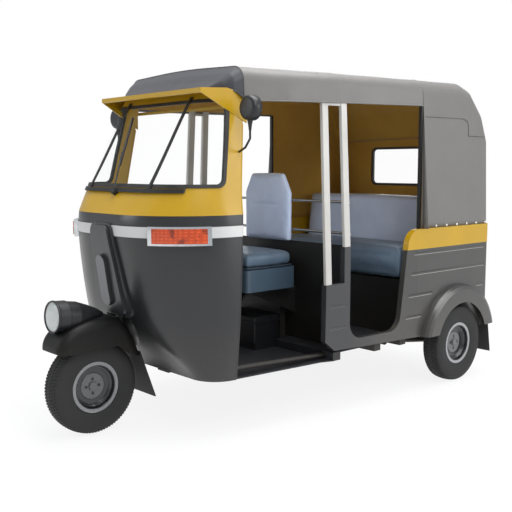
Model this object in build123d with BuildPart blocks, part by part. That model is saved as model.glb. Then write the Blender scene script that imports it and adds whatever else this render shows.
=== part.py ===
"""Three-wheeled auto rickshaw, in millimetres.

+Z is up, -Y is forwards and +X is the vehicle's left side.  The origin is on the ground,
on the centre plane, half way between the front of the front tyre and the rear bumper.
"""
import os
from math import cos, hypot, radians, sin, tan

from build123d import *

os.makedirs("parts", exist_ok=True)

# ---------------------------------------------------------------- driving dimensions
# wheels
WHEELBASE = 2000.0
TRACK = 1150.0
TYRE_R = 216.0
TYRE_W = 108.0
TREAD_W = 84.0
RIM_FLANGE_R = 116.0
BEAD_R = 101.0
RIM_W = 84.0
HUB_DISC_R = 58.0
HUB_RECESS = 29.0
HUB_LENGTH = 46.0
AXLE_R = 12.0
AXLE_PLAY = 0.05
WHEEL_BOLT_PCD = 66.0
WHEEL_BOLT_R = 6.0

# overall places along the vehicle
FRONT_AXLE_Y = -1070.0
REAR_AXLE_Y = FRONT_AXLE_Y + WHEELBASE
REAR_FACE_Y = 1245.0
BUMPER_REAR_Y = -(FRONT_AXLE_Y - TYRE_R)

# body heights
FLOOR_Z = 262.0
BELT_Z = 998.0
WAIST_LOW_Z = 773.0
WAIST_Z = 880.0
VALANCE_Z = 1508.0
COWL_TOP_Z = 1556.0
ROOF_Z = 1700.0

# sheet and panel thicknesses
SKIN = 6.0
CANVAS = 6.0
LINING = 3.0
LINING_GAP = 0.4
PANEL = 30.0
FLOOR_T = 5.0
MUDGUARD_T = 4.0
FLAP_T = 5.0
GLASS_T = 5.0
RUBBER_PROUD = 4.0

# body widths
BODY_HALF_W = 600.0
FENDER_HALF_W = 650.0

# steering
RAKE = 24.0
HEAD_Y, HEAD_Z = -908.0, 522.0
COLUMN_R = 18.0
HEAD_TUBE_R = 27.0
STEM_HOLE_R = 46.0
FORK_LEG_R = 14.0
FORK_LEG_X = -76.0
HANDLEBAR_Z = 985.0
HANDLEBAR_HALF = 300.0
HANDLEBAR_R = 12.0

STEER = Plane(origin=(0, HEAD_Y, HEAD_Z), x_dir=(1, 0, 0),
              z_dir=(0, sin(radians(RAKE)), cos(radians(RAKE))))


def steer_y(z):
    """Y of the steering axis at height z."""
    return HEAD_Y + (z - HEAD_Z) * tan(radians(RAKE))


def steer_s(z):
    """Distance along the steering axis from its origin to height z."""
    return (z - HEAD_Z) / cos(radians(RAKE))


# ---------------------------------------------------------------- helpers
def finish(builder, name):
    """Label a finished piece and write its STEP file."""
    builder.part.label = name
    export_step(builder.part, f"parts/{name}.step")


def side_prism(points, half_width, radius=0.0):
    """A YZ outline, extruded both ways along X, with all corners rounded when asked."""
    with BuildPart() as prism:
        with BuildSketch(Plane.YZ):
            with BuildLine():
                Polyline(*points, close=True)
            make_face()
            if radius:
                fillet(vertices(), radius)
        extrude(amount=half_width, both=True)
    return prism.part


def front_prism(points, y_low, y_high, radius=0.0):
    """An XZ outline, extruded from y_low to y_high, with all corners rounded when asked."""
    with BuildPart() as prism:
        with BuildSketch(Plane.XZ.offset(-y_low)):
            with BuildLine():
                Polyline(*points, close=True)
            make_face()
            if radius:
                fillet(vertices(), radius)
        extrude(amount=-(y_high - y_low))
    return prism.part


def plan_prism(points, z_low, z_high):
    """An XY outline, extruded from z_low to z_high."""
    with BuildPart() as prism:
        with BuildSketch(Plane.XY.offset(z_low)):
            with BuildLine():
                Polyline(*points, close=True)
            make_face()
        extrude(amount=z_high - z_low)
    return prism.part


def tube_between(start, end, radius):
    """A round bar between two points."""
    direction = Vector(*end) - Vector(*start)
    with BuildPart() as bar:
        with BuildSketch(Plane(origin=start, z_dir=direction)):
            Circle(radius)
        extrude(amount=direction.length)
    return bar.part


def block(low, high):
    """A box between two opposite corners."""
    with BuildPart() as box:
        with Locations([tuple((a + b) / 2 for a, b in zip(low, high))]):
            Box(*[b - a for a, b in zip(low, high)])
    return box.part


def bent_bar(points, radius, bend):
    """A round bar along a polyline whose corners are tangent arcs."""
    with BuildPart() as bar:
        with BuildLine() as route:
            FilletPolyline(*points, radius=bend)
        with BuildSketch(Plane(origin=route.line @ 0, z_dir=route.line % 0)):
            Circle(radius)
        sweep()
    return bar.part


# ------------------------------------------------- front mudguard's form and the pocket it turns in
FRONT_GUARD_HALF_W = 98.0
FRONT_GUARD_EDGE_R = 46.0
FRONT_GUARD_TOP = [(-1273, 402), (-1262, 452), (-1222, 494), (-1160, 520), (-1080, 534), (-1000, 537),
                   (-955, 525),
                   (-920, 490), (-892, 440), (-868, 385), (-848, 331)]
FRONT_GUARD_LOW = [(-936, 366), (-984, 403), (-1259, 395)]
# the pocket in the lower cowl: distance along the steering axis, radius
POCKET = [(-260, 196), (-200, 190), (-150, 160), (-110, 134), (-70, 116), (-25, 108), (0, 100)]


def pocket_form(grow):
    """A turned form about the steering axis, made larger by grow."""
    with BuildPart() as form:
        with BuildSketch(Plane(origin=STEER.origin, x_dir=(1, 0, 0),
                               z_dir=STEER.z_dir.cross(Vector(1, 0, 0)) * -1)):
            with BuildLine():
                outline = [(radius + grow, s) for s, radius in POCKET]
                outline[-1] = (POCKET[-1][1] + grow, POCKET[-1][0] + grow)
                Polyline((0, POCKET[0][0]), *outline, (0, outline[-1][1]), close=True)
            make_face()
        revolve(axis=Axis(STEER.origin, STEER.z_dir))
    return form.part


# ---------------------------------------------------------------- cowl
# Plan sections of the cowl: height, front face Y, half width at the front corner, corner radius,
# half width at the door edge, Y of the door edge.
COWL_LOWER = [
    # z, front_y, corner_x, corner_r, edge_x, edge_y
    (FLOOR_Z, -765.0, 485.0, 130.0, 500.0, -625.0),
    (400.0, -852.0, 474.0, 235.0, 506.0, -618.0),
    (522.0, -918.0, 468.0, 325.0, 508.0, -610.0),
    (685.0, -955.0, 480.0, 345.0, 504.0, -598.0),
    (868.0, -984.0, 487.0, 358.0, 494.0, -583.0),
    (BELT_Z, -985.0, 484.0, 358.0, 485.0, -573.0),
]
COWL_UPPER = [
    (BELT_Z, -985.0, 484.0, 358.0, 485.0, -573.0),
    (1110.0, -903.0, 466.0, 262.0, 467.0, -564.0),
    (1330.0, -771.0, 439.0, 185.0, 440.0, -535.0),
    (COWL_TOP_Z, -636.0, 410.0, 105.0, 411.0, -504.0),
]


def cowl_solid(sections, grow, back=0.0):
    """The cowl's outer form, grown outwards by grow and longer at its door edge by back."""
    with BuildPart() as form:
        for z, front_y, corner_x, corner_r, edge_x, edge_y in sections:
            with BuildSketch(Plane.XY.offset(z)):
                with BuildLine():
                    outline = FilletPolyline(
                        (-edge_x - grow, edge_y + back),
                        (-corner_x - grow, front_y - grow),
                        (corner_x + grow, front_y - grow),
                        (edge_x + grow, edge_y + back),
                        radius=corner_r + grow,
                    )
                    Line(outline @ 1, outline @ 0)
                make_face()
        loft()
    return form.part


LOWER_FORM = cowl_solid(COWL_LOWER, 0)
UPPER_FORM = cowl_solid(COWL_UPPER, 0)
STEM_HOLE = tube_between((0, steer_y(430), 430), (0, steer_y(600), 600), STEM_HOLE_R)

with BuildPart() as cowl_lower:
    add(LOWER_FORM)
    add(pocket_form(0), mode=Mode.SUBTRACT)
    with BuildPart(mode=Mode.PRIVATE) as cavity:
        add(cowl_solid(COWL_LOWER, -SKIN, back=5))
        add(pocket_form(SKIN), mode=Mode.SUBTRACT)
    add(cavity.part, mode=Mode.SUBTRACT)
    add(STEM_HOLE, mode=Mode.SUBTRACT)
finish(cowl_lower, "cowl_lower")

# windscreen aperture, as a side view outline
SCREEN_LOW_Z, SCREEN_HIGH_Z = 1116.0, 1506.0
SCREEN_SIDE_LOW_Y, SCREEN_SIDE_HIGH_Y = -655.0, -583.0
SCREEN_CORNER_R = 45.0
RUBBER_W = 16.0


def screen_prism(inset):
    """The windscreen aperture through both sides, made smaller all round by inset."""
    lean = (SCREEN_SIDE_HIGH_Y - SCREEN_SIDE_LOW_Y) / (SCREEN_HIGH_Z - SCREEN_LOW_Z)
    low, high = SCREEN_LOW_Z + inset, SCREEN_HIGH_Z - inset
    with BuildPart() as prism:
        with BuildSketch(Plane.YZ):
            with BuildLine():
                ends = FilletPolyline(
                    (-1150, low),
                    (SCREEN_SIDE_LOW_Y - inset + lean * inset, low),
                    (SCREEN_SIDE_HIGH_Y - inset - lean * inset, high),
                    (-1150, high),
                    radius=SCREEN_CORNER_R - inset,
                )
                Line(ends @ 1, ends @ 0)
            make_face()
        extrude(amount=600, both=True)
    return prism.part


with BuildPart() as cowl_upper:
    add(UPPER_FORM)
    add(cowl_solid(COWL_UPPER, -SKIN, back=5), mode=Mode.SUBTRACT)
    add(screen_prism(0), mode=Mode.SUBTRACT)
finish(cowl_upper, "cowl_upper")

with BuildPart() as windscreen_rubber:
    add(cowl_solid(COWL_UPPER, RUBBER_PROUD))
    add(cowl_solid(COWL_UPPER, -SKIN - RUBBER_PROUD, back=5), mode=Mode.SUBTRACT)
    add(screen_prism(0), mode=Mode.INTERSECT)
    add(screen_prism(RUBBER_W), mode=Mode.SUBTRACT)
finish(windscreen_rubber, "windscreen_rubber")

with BuildPart() as windscreen_glass:
    add(UPPER_FORM)
    add(cowl_solid(COWL_UPPER, -GLASS_T, back=5), mode=Mode.SUBTRACT)
    add(screen_prism(RUBBER_W), mode=Mode.INTERSECT)
finish(windscreen_glass, "windscreen_glass")

# band, nose cover and indicators lie on the lower cowl
BAND_LOW_Z, BAND_HIGH_Z = 898.0, 954.0
BAND_T = 3.0
NOSE_T = 12.0
NOSE_FRONT_T = 26.0
BOSS_T = 42.0
NOSE_OUTLINE = [(-84, 958), (84, 958), (124, 690), (158, 530), (-158, 530), (-124, 690)]
NOSE_FRONT_OUTLINE = [(-66, 948), (66, 948), (96, 690), (116, 540), (-116, 540), (-96, 690)]
NOSE_CORNER_R = 40.0
NOSE_FRONT_CORNER_R = 34.0
BOSS_LOW_Z, BOSS_HIGH_Z, BOSS_HALF_W = 575.0, 812.0, 36.0

with BuildPart() as nose_cover:
    add(cowl_solid(COWL_LOWER, NOSE_T))
    add(front_prism(NOSE_OUTLINE, -1200, -800, NOSE_CORNER_R), mode=Mode.INTERSECT)
    with BuildPart(mode=Mode.PRIVATE) as nose_front:
        add(cowl_solid(COWL_LOWER, NOSE_FRONT_T))
        add(front_prism(NOSE_FRONT_OUTLINE, -1200, -850, NOSE_FRONT_CORNER_R), mode=Mode.INTERSECT)
    add(nose_front.part)
    with BuildPart(mode=Mode.PRIVATE) as boss:
        add(cowl_solid(COWL_LOWER, BOSS_T))
        with BuildSketch(Plane.XZ.offset(850)):
            with Locations((0, (BOSS_LOW_Z + BOSS_HIGH_Z) / 2)):
                SlotOverall(BOSS_HIGH_Z - BOSS_LOW_Z, 2 * BOSS_HALF_W, rotation=90)
        extrude(amount=350, mode=Mode.INTERSECT)
    add(boss.part)
    add(LOWER_FORM, mode=Mode.SUBTRACT)
    add(STEM_HOLE, mode=Mode.SUBTRACT)
finish(nose_cover, "nose_cover")

# turn indicators wrap round the cowl's front corners
INDICATOR_LOW_Z, INDICATOR_HIGH_Z = 872.0, 954.0
INDICATOR_T = 22.0
INDICATOR_INNER_DEG, INDICATOR_OUTER_DEG = 29.0, 71.0
LENS_MARGIN_DEG, LENS_MARGIN = 3.0, 9.0
LENS_T = 26.0
LENS_SINK = 8.0
CORNER_X, CORNER_Y = 484.0 - 358.0, -984.0 + 358.0


def indicator_wedge(margin_deg, margin):
    """A wedge about the cowl's corner centre, between two bearings from straight ahead."""
    reach = 480.0
    rays = [radians(INDICATOR_INNER_DEG + margin_deg), radians(INDICATOR_OUTER_DEG - margin_deg)]
    points = [(CORNER_X + 200 * sin(a), CORNER_Y - 200 * cos(a)) for a in rays]
    points += [(CORNER_X + reach * sin(a), CORNER_Y - reach * cos(a)) for a in reversed(rays)]
    return plan_prism(points, INDICATOR_LOW_Z + margin, INDICATOR_HIGH_Z - margin)


with BuildPart() as indicator_lenses:
    add(cowl_solid(COWL_LOWER, LENS_T))
    add(indicator_wedge(LENS_MARGIN_DEG, LENS_MARGIN), mode=Mode.INTERSECT)
    add(cowl_solid(COWL_LOWER, LENS_SINK, back=5), mode=Mode.SUBTRACT)
    mirror(about=Plane.YZ)
finish(indicator_lenses, "indicator_lenses")

with BuildPart() as indicator_frames:
    add(cowl_solid(COWL_LOWER, INDICATOR_T))
    add(indicator_wedge(0, 0), mode=Mode.INTERSECT)
    add(LOWER_FORM, mode=Mode.SUBTRACT)
    mirror(about=Plane.YZ)
    add(indicator_lenses.part, mode=Mode.SUBTRACT)
finish(indicator_frames, "indicator_frames")

with BuildPart() as cowl_band:
    add(cowl_solid(COWL_LOWER, BAND_T))
    add(block((-700, -1200, BAND_LOW_Z), (700, 0, BAND_HIGH_Z)), mode=Mode.INTERSECT)
    for neighbour in (LOWER_FORM, nose_cover.part, indicator_frames.part):
        add(neighbour, mode=Mode.SUBTRACT)
finish(cowl_band, "cowl_band")

# windscreen guard: a flat bar across below the glass and two slanting strips up to the visor
GUARD_HALF_W = 400.0
GUARD_Z = 1104.0
GUARD_W, GUARD_T = 18.0, 6.0
STRIP_FOOT_X, STRIP_HEAD_X = 245.0, 247.0
STRIP_HEAD_Z = 1519.0

with BuildPart() as windscreen_guard:
    add(cowl_solid(COWL_UPPER, RUBBER_PROUD + GUARD_T))
    add(cowl_solid(COWL_UPPER, RUBBER_PROUD), mode=Mode.SUBTRACT)
    with BuildPart(mode=Mode.PRIVATE) as guard_shape:
        with BuildSketch(Plane.XZ.offset(500)):
            with Locations((0, GUARD_Z)):
                Rectangle(2 * GUARD_HALF_W, GUARD_W)
            with BuildLine():
                Polyline(
                    (STRIP_FOOT_X - GUARD_W / 2, GUARD_Z),
                    (STRIP_FOOT_X + GUARD_W / 2, GUARD_Z),
                    (STRIP_HEAD_X + GUARD_W / 2, STRIP_HEAD_Z),
                    (STRIP_HEAD_X - GUARD_W / 2, STRIP_HEAD_Z),
                    close=True,
                )
            make_face()
            mirror(about=Plane.YZ)
        extrude(amount=600)
    add(guard_shape.part, mode=Mode.INTERSECT)
finish(windscreen_guard, "windscreen_guard")

# ---------------------------------------------------------------- sun visor
VISOR_T = 6.0
VISOR_TIP_Y, VISOR_TIP_Z, VISOR_TIP_X = -738.0, 1528.0, 402.0
VISOR_END_Y, VISOR_END_Z, VISOR_END_X = -505.0, 1402.0, 437.0
# side view of the visor's top edge, front to back: a flat shelf, then a cheek that curls down
VISOR_TOP = [(VISOR_TIP_Y, 1547.0), (-606.0, 1552.0), (-580.0, 1545.0), (-555.0, 1531.0), (-530.0, 1510.0),
             (VISOR_END_Y, 1480.0)]

with BuildPart() as sun_visor:
    add(side_prism([(VISOR_TIP_Y, VISOR_TIP_Z), *VISOR_TOP, (VISOR_END_Y, VISOR_END_Z)], 600))
    add(plan_prism([(-VISOR_TIP_X, VISOR_TIP_Y), (VISOR_TIP_X, VISOR_TIP_Y), (VISOR_END_X, VISOR_END_Y),
                    (-VISOR_END_X, VISOR_END_Y)], 1300, 1700), mode=Mode.INTERSECT)
    with BuildPart(mode=Mode.PRIVATE) as visor_inside:
        lip_y, open_y = VISOR_TIP_Y + VISOR_T, VISOR_END_Y + 50
        under = [(max(y, lip_y), z - VISOR_T) for y, z in VISOR_TOP]
        add(side_prism([(lip_y, 1300), *under, (open_y, under[-1][1]), (open_y, 1300)], 600))
        taper = (VISOR_END_X - VISOR_TIP_X) / (VISOR_END_Y - VISOR_TIP_Y)
        front_x, back_x = VISOR_TIP_X - VISOR_T, VISOR_END_X - VISOR_T + 50 * taper
        add(plan_prism([(-front_x, VISOR_TIP_Y), (front_x, VISOR_TIP_Y), (back_x, open_y), (-back_x, open_y)],
                       1200, 1700), mode=Mode.INTERSECT)
    add(visor_inside.part, mode=Mode.SUBTRACT)
    add(UPPER_FORM, mode=Mode.SUBTRACT)
    add(windscreen_rubber.part, mode=Mode.SUBTRACT)
finish(sun_visor, "sun_visor")

# ---------------------------------------------------------------- canopy
# Cross sections of the canopy, front to back: place along Y, half width at the lower edge, half width
# and height of the shoulder corner, height of the crown, shoulder radius.
CANOPY_SEAM_Y = 603.0
HOOD_FRONT = [
    # y, foot_x, corner_x, corner_z, crown_z, corner_r
    (-646.0, 330.0, 326.0, 1551.0, 1556.0, 12.0),
    (-606.0, 400.0, 394.0, 1584.0, 1594.0, 30.0),
    (-570.0, 432.0, 423.0, 1618.0, 1632.0, 48.0),
    (-530.0, 452.0, 440.0, 1651.0, 1669.0, 66.0),
    (-300.0, 503.0, 484.0, 1650.0, 1688.0, 75.0),
    (0.0, 543.0, 527.0, 1654.0, 1696.0, 75.0),
    (CANOPY_SEAM_Y, 590.0, 574.0, 1660.0, ROOF_Z, 75.0),
]
HOOD_REAR = [
    (CANOPY_SEAM_Y, 590.0, 574.0, 1660.0, ROOF_Z, 75.0),
    (975.0, 594.0, 577.0, 1668.0, ROOF_Z, 75.0),
    (1060.0, 594.0, 577.0, 1640.0, 1662.0, 72.0),
    (1165.0, 594.0, 576.0, 1532.0, 1545.0, 66.0),
    (1222.0, 593.0, 574.0, 1402.0, 1410.0, 60.0),
    (REAR_FACE_Y, 572.0, 553.0, 1370.0, 1376.0, 45.0),
]


def hood_solid(sections, grow, foot_z):
    """The canopy's form down to foot_z, grown by grow; the rear end moves with it."""
    with BuildPart() as form:
        for y, foot_x, corner_x, corner_z, crown_z, corner_r in sections:
            with BuildSketch(Plane.XZ.offset(-(y + (grow if y > CANOPY_SEAM_Y else 0)))):
                with BuildLine():
                    outline = FilletPolyline(
                        (-foot_x - grow, foot_z),
                        (-corner_x - grow, corner_z + grow),
                        (0, crown_z + grow),
                        (corner_x + grow, corner_z + grow),
                        (foot_x + grow, foot_z),
                        radius=[corner_r + grow, 2600.0, corner_r + grow],
                    )
                    Line(outline @ 1, outline @ 0)
                make_face()
        loft(ruled=True)
    return form.part


VALANCE_CUT = side_prism([(-760, 1400), *[(y - 30 if y < -700 else y, z) for y, z in VISOR_TOP[:-1]],
                          (VISOR_END_Y, VALANCE_Z - 7), (CANOPY_SEAM_Y, 1527), (CANOPY_SEAM_Y, 1400)], 700)
LINING_OUT = -CANVAS - LINING_GAP

with BuildPart() as canopy_front:
    add(hood_solid(HOOD_FRONT, 0, 1450))
    add(hood_solid(HOOD_FRONT, -CANVAS, 1450), mode=Mode.SUBTRACT)
    for neighbour in (VALANCE_CUT, sun_visor.part, UPPER_FORM):
        add(neighbour, mode=Mode.SUBTRACT)
finish(canopy_front, "canopy_front")

WINDOW_HALF_W, WINDOW_LOW_Z, WINDOW_HIGH_Z, WINDOW_CORNER_R = 285.0, 1090.0, 1335.0, 38.0
WINDOW_RUBBER_W = 14.0


def window_prism(inset):
    """The rear window aperture, made smaller all round by inset."""
    half_w, low, high = WINDOW_HALF_W - inset, WINDOW_LOW_Z + inset, WINDOW_HIGH_Z - inset
    return front_prism([(-half_w, low), (half_w, low), (half_w, high), (-half_w, high)],
                       REAR_FACE_Y - 80, REAR_FACE_Y + 40, WINDOW_CORNER_R - inset)


with BuildPart() as canopy_rear:
    add(hood_solid(HOOD_REAR, 0, WAIST_Z))
    add(hood_solid(HOOD_REAR, -CANVAS, WAIST_Z), mode=Mode.SUBTRACT)
    add(window_prism(0), mode=Mode.SUBTRACT)
finish(canopy_rear, "canopy_rear")

with BuildPart() as roof_lining:
    add(hood_solid(HOOD_FRONT, LINING_OUT, 1450))
    add(hood_solid(HOOD_FRONT, LINING_OUT - LINING, 1450), mode=Mode.SUBTRACT)
    for neighbour in (VALANCE_CUT, sun_visor.part, UPPER_FORM):
        add(neighbour, mode=Mode.SUBTRACT)
    with BuildPart(mode=Mode.PRIVATE) as rear_lining:
        add(hood_solid(HOOD_REAR, LINING_OUT, WAIST_Z))
        add(hood_solid(HOOD_REAR, LINING_OUT - LINING, WAIST_Z), mode=Mode.SUBTRACT)
        add(window_prism(0), mode=Mode.SUBTRACT)
    add(rear_lining.part)
finish(roof_lining, "roof_lining")

with BuildPart() as rear_window_rubber:
    add(window_prism(0))
    add(block((-600, REAR_FACE_Y - CANVAS - LINING - 4, 900), (600, REAR_FACE_Y + RUBBER_PROUD, 1500)),
        mode=Mode.INTERSECT)
    add(window_prism(WINDOW_RUBBER_W), mode=Mode.SUBTRACT)
finish(rear_window_rubber, "rear_window_rubber")

with BuildPart() as rear_window_glass:
    add(window_prism(WINDOW_RUBBER_W))
    add(block((-600, REAR_FACE_Y - GLASS_T, 900), (600, REAR_FACE_Y, 1500)), mode=Mode.INTERSECT)
finish(rear_window_glass, "rear_window_glass")

# ---------------------------------------------------------------- body sides
# Plan of the left side: the outer face tapers in towards the front.
SIDE_FRONT_Y = -120.0
SIDE_FRONT_X = 569.0
SIDE_FULL_Y = 560.0
SIDE_REAR_Y = REAR_FACE_Y - 30.0
SILL_FRONT_Z, SILL_REAR_Z = 316.0, 283.0
B_TOP_Z, STRIP_TOP_Z = 644.0, 821.0
STRIP_FRONT_Y, DOOR_FRONT_Y = 7.0, 48.0
DOOR_SILL_Z = 357.0
DOOR_REAR_LOW_Y, DOOR_REAR_WAIST_Y, DOOR_REAR_TOP_Y = 418.0, 475.0, 490.0
DOOR_CORNER_R = 82.0
BELT_CORNER_R = 90.0
ARCH_R = 252.0


def side_strip(proud, thickness):
    """The plan strip that a left side panel fills, its outer face moved out by proud."""
    outer = [(SIDE_FRONT_X + proud, SIDE_FRONT_Y - 4), (BODY_HALF_W + proud, SIDE_FULL_Y),
             (BODY_HALF_W + proud, SIDE_REAR_Y)]
    inner = [(x - proud - thickness, y) for x, y in reversed(outer)]
    return plan_prism(outer + inner, SILL_REAR_Z - 20, WAIST_Z + 10)


with BuildPart() as side_panels:
    add(side_prism([(SIDE_FRONT_Y + 4, B_TOP_Z), (SIDE_FRONT_Y, 367), (SIDE_FRONT_Y + 64, SILL_FRONT_Z),
                    (SIDE_REAR_Y - 60, SILL_REAR_Z), (SIDE_REAR_Y, SILL_REAR_Z), (SIDE_REAR_Y, WAIST_LOW_Z),
                    (DOOR_FRONT_Y + 20, WAIST_LOW_Z), (DOOR_FRONT_Y + 20, STRIP_TOP_Z),
                    (STRIP_FRONT_Y, STRIP_TOP_Z),
                    (STRIP_FRONT_Y, B_TOP_Z)], 700))
    add(side_strip(0, PANEL), mode=Mode.INTERSECT)
    with BuildSketch(Plane.YZ):
        with BuildLine():
            Polyline((DOOR_FRONT_Y, STRIP_TOP_Z + 400), (DOOR_FRONT_Y, DOOR_SILL_Z),
                     (DOOR_REAR_LOW_Y, DOOR_SILL_Z),
                     (DOOR_REAR_WAIST_Y, WAIST_LOW_Z), (DOOR_REAR_TOP_Y + 46, STRIP_TOP_Z + 400),
                     close=True)
        make_face()
        # in this sketch the upward direction is its own Y
        fillet(vertices().group_by(Axis.Y)[0], DOOR_CORNER_R)
    extrude(amount=700, mode=Mode.SUBTRACT)
    with BuildSketch(Plane.YZ):
        with Locations((REAR_AXLE_Y, TYRE_R)):
            Circle(ARCH_R)
    extrude(amount=700, mode=Mode.SUBTRACT)
    mirror(about=Plane.YZ)
finish(side_panels, "side_panels")

BELT_PROUD = 2.0
BELT_REAR_T = 6.0
CORNER_PLAN_R = 28.0


def rear_wrap(proud, thickness, z_low, z_high):
    """The body's rear face with its two rounded corners, from one side panel to the other."""
    half_w, back = BODY_HALF_W + proud, REAR_FACE_Y + proud
    with BuildPart() as wrap:
        with BuildSketch(Plane.XY.offset(z_low)):
            with BuildLine():
                outline = FilletPolyline((-half_w, SIDE_REAR_Y), (-half_w, back), (half_w, back),
                                         (half_w, SIDE_REAR_Y), radius=CORNER_PLAN_R + proud)
                Line(outline @ 1, outline @ 0)
            make_face()
            with BuildLine():
                inner = FilletPolyline((-half_w + thickness, SIDE_REAR_Y),
                                       (-half_w + thickness, back - thickness),
                                       (half_w - thickness, back - thickness),
                                       (half_w - thickness, SIDE_REAR_Y),
                                       radius=CORNER_PLAN_R + proud - thickness)
                Line(inner @ 1, inner @ 0)
            make_face(mode=Mode.SUBTRACT)
        extrude(amount=z_high - z_low)
    return wrap.part


with BuildPart() as belt_rails:
    with BuildSketch(Plane.YZ):
        with BuildLine():
            Polyline((DOOR_REAR_WAIST_Y, WAIST_LOW_Z), (DOOR_REAR_TOP_Y, WAIST_Z), (SIDE_REAR_Y, WAIST_Z),
                     (SIDE_REAR_Y, WAIST_LOW_Z), close=True)
        make_face()
        # in this sketch the upward direction is its own Y, rearwards its own X
        fillet(vertices().group_by(Axis.Y)[-1].sort_by(Axis.X)[0], BELT_CORNER_R)
    extrude(amount=700)
    add(side_strip(BELT_PROUD, PANEL + BELT_PROUD), mode=Mode.INTERSECT)
    mirror(about=Plane.YZ)
    add(rear_wrap(BELT_PROUD, BELT_REAR_T, WAIST_LOW_Z, WAIST_Z))
finish(belt_rails, "belt_rails")

# rear panel, engine hatch and its hinge
HATCH_HALF_W, HATCH_LOW_Z, HATCH_HIGH_Z = 310.0, 330.0, 640.0
HATCH_GAP = 5.0
HATCH_T = 6.0
HINGE_Y, HINGE_Z = REAR_FACE_Y + 7.0, HATCH_HIGH_Z - 1.0
HINGE_PIN_R, HINGE_BORE_R, HINGE_BARREL_R = 3.0, 3.1, 6.0
HINGE_X, HINGE_W, HINGE_EAR_W = 200.0, 34.0, 8.0
REAR_PANEL_T = 6.0

PLATE_HOLE_X, PLATE_HOLE_Z, PLATE_HOLE_R = 70.0, 734.0, 3.0
with BuildPart() as plate_drill:
    for x in (-PLATE_HOLE_X, PLATE_HOLE_X):
        add(tube_between((x, REAR_FACE_Y - 40, PLATE_HOLE_Z), (x, REAR_FACE_Y + 20, PLATE_HOLE_Z),
                         PLATE_HOLE_R))
PLATE_HOLES = plate_drill.part

with BuildPart() as rear_panel:
    add(rear_wrap(0, REAR_PANEL_T, SILL_REAR_Z, WAIST_LOW_Z))
    add(block((-HATCH_HALF_W, REAR_FACE_Y - 40, HATCH_LOW_Z),
              (HATCH_HALF_W, REAR_FACE_Y + 40, HATCH_HIGH_Z)),
        mode=Mode.SUBTRACT)
    for hinge_x in (-HINGE_X, HINGE_X):
        for side in (-1, 1):
            ear_x = hinge_x + side * (HINGE_W / 2 + HINGE_EAR_W / 2 + 1)
            add(block((ear_x - HINGE_EAR_W / 2, REAR_FACE_Y, HINGE_Z - HINGE_PIN_R - 0.5),
                      (ear_x + HINGE_EAR_W / 2, HINGE_Y + HINGE_BARREL_R, HINGE_Z + 2 * HINGE_BARREL_R)))
        reach = HINGE_W / 2 + HINGE_EAR_W
        add(tube_between((hinge_x - reach, HINGE_Y, HINGE_Z), (hinge_x + reach, HINGE_Y, HINGE_Z),
                         HINGE_PIN_R))
    add(PLATE_HOLES, mode=Mode.SUBTRACT)
finish(rear_panel, "rear_panel")

LOUVRE_ROWS = 6
LOUVRE_PITCH = 32.0
LOUVRE_LOW_Z = 400.0
LOUVRE_HALF_W = 210.0
LOUVRE_R = 7.0

with BuildPart() as engine_hatch:
    add(block((-HATCH_HALF_W + HATCH_GAP, REAR_FACE_Y - HATCH_T, HATCH_LOW_Z + HATCH_GAP),
              (HATCH_HALF_W - HATCH_GAP, REAR_FACE_Y, HATCH_HIGH_Z - HATCH_GAP)))
    for row in range(LOUVRE_ROWS):
        z = LOUVRE_LOW_Z + row * LOUVRE_PITCH
        add(tube_between((-LOUVRE_HALF_W, REAR_FACE_Y, z), (LOUVRE_HALF_W, REAR_FACE_Y, z), LOUVRE_R))
    for hinge_x in (-HINGE_X, HINGE_X):
        add(block((hinge_x - HINGE_W / 2, REAR_FACE_Y - 1, HATCH_HIGH_Z - 30),
                  (hinge_x + HINGE_W / 2, HINGE_Y, HATCH_HIGH_Z - HATCH_GAP - 1)))
        add(tube_between((hinge_x - HINGE_W / 2, HINGE_Y, HINGE_Z),
                         (hinge_x + HINGE_W / 2, HINGE_Y, HINGE_Z),
                         HINGE_BARREL_R))
        add(tube_between((hinge_x - HINGE_W, HINGE_Y, HINGE_Z), (hinge_x + HINGE_W, HINGE_Y, HINGE_Z),
                         HINGE_BORE_R), mode=Mode.SUBTRACT)
finish(engine_hatch, "engine_hatch")

# ---------------------------------------------------------------- rear mudguards, housings and flaps
FENDER_R = 338.0
FENDER_LIP_R = 236.0
FENDER_T = 4.0
FENDER_CORNER_R = 26.0
FENDER_LOW_Z = 296.0
HOUSING_IN_X = 470.0
HOUSING_R = 262.0


def half_ring(profile, low_z):
    """A profile given as (distance outwards, radius), turned about the rear axle; kept above low_z."""
    with BuildPart() as ring:
        with BuildSketch(Plane(origin=(0, REAR_AXLE_Y, TYRE_R), x_dir=(1, 0, 0), z_dir=(0, -1, 0))):
            with BuildLine():
                Polyline(*profile, close=True)
            make_face()
        revolve(axis=Axis((0, REAR_AXLE_Y, TYRE_R), (1, 0, 0)))
        add(block((-900, REAR_AXLE_Y - 600, low_z), (900, REAR_AXLE_Y + 600, 1200)), mode=Mode.INTERSECT)
    return ring.part


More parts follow.
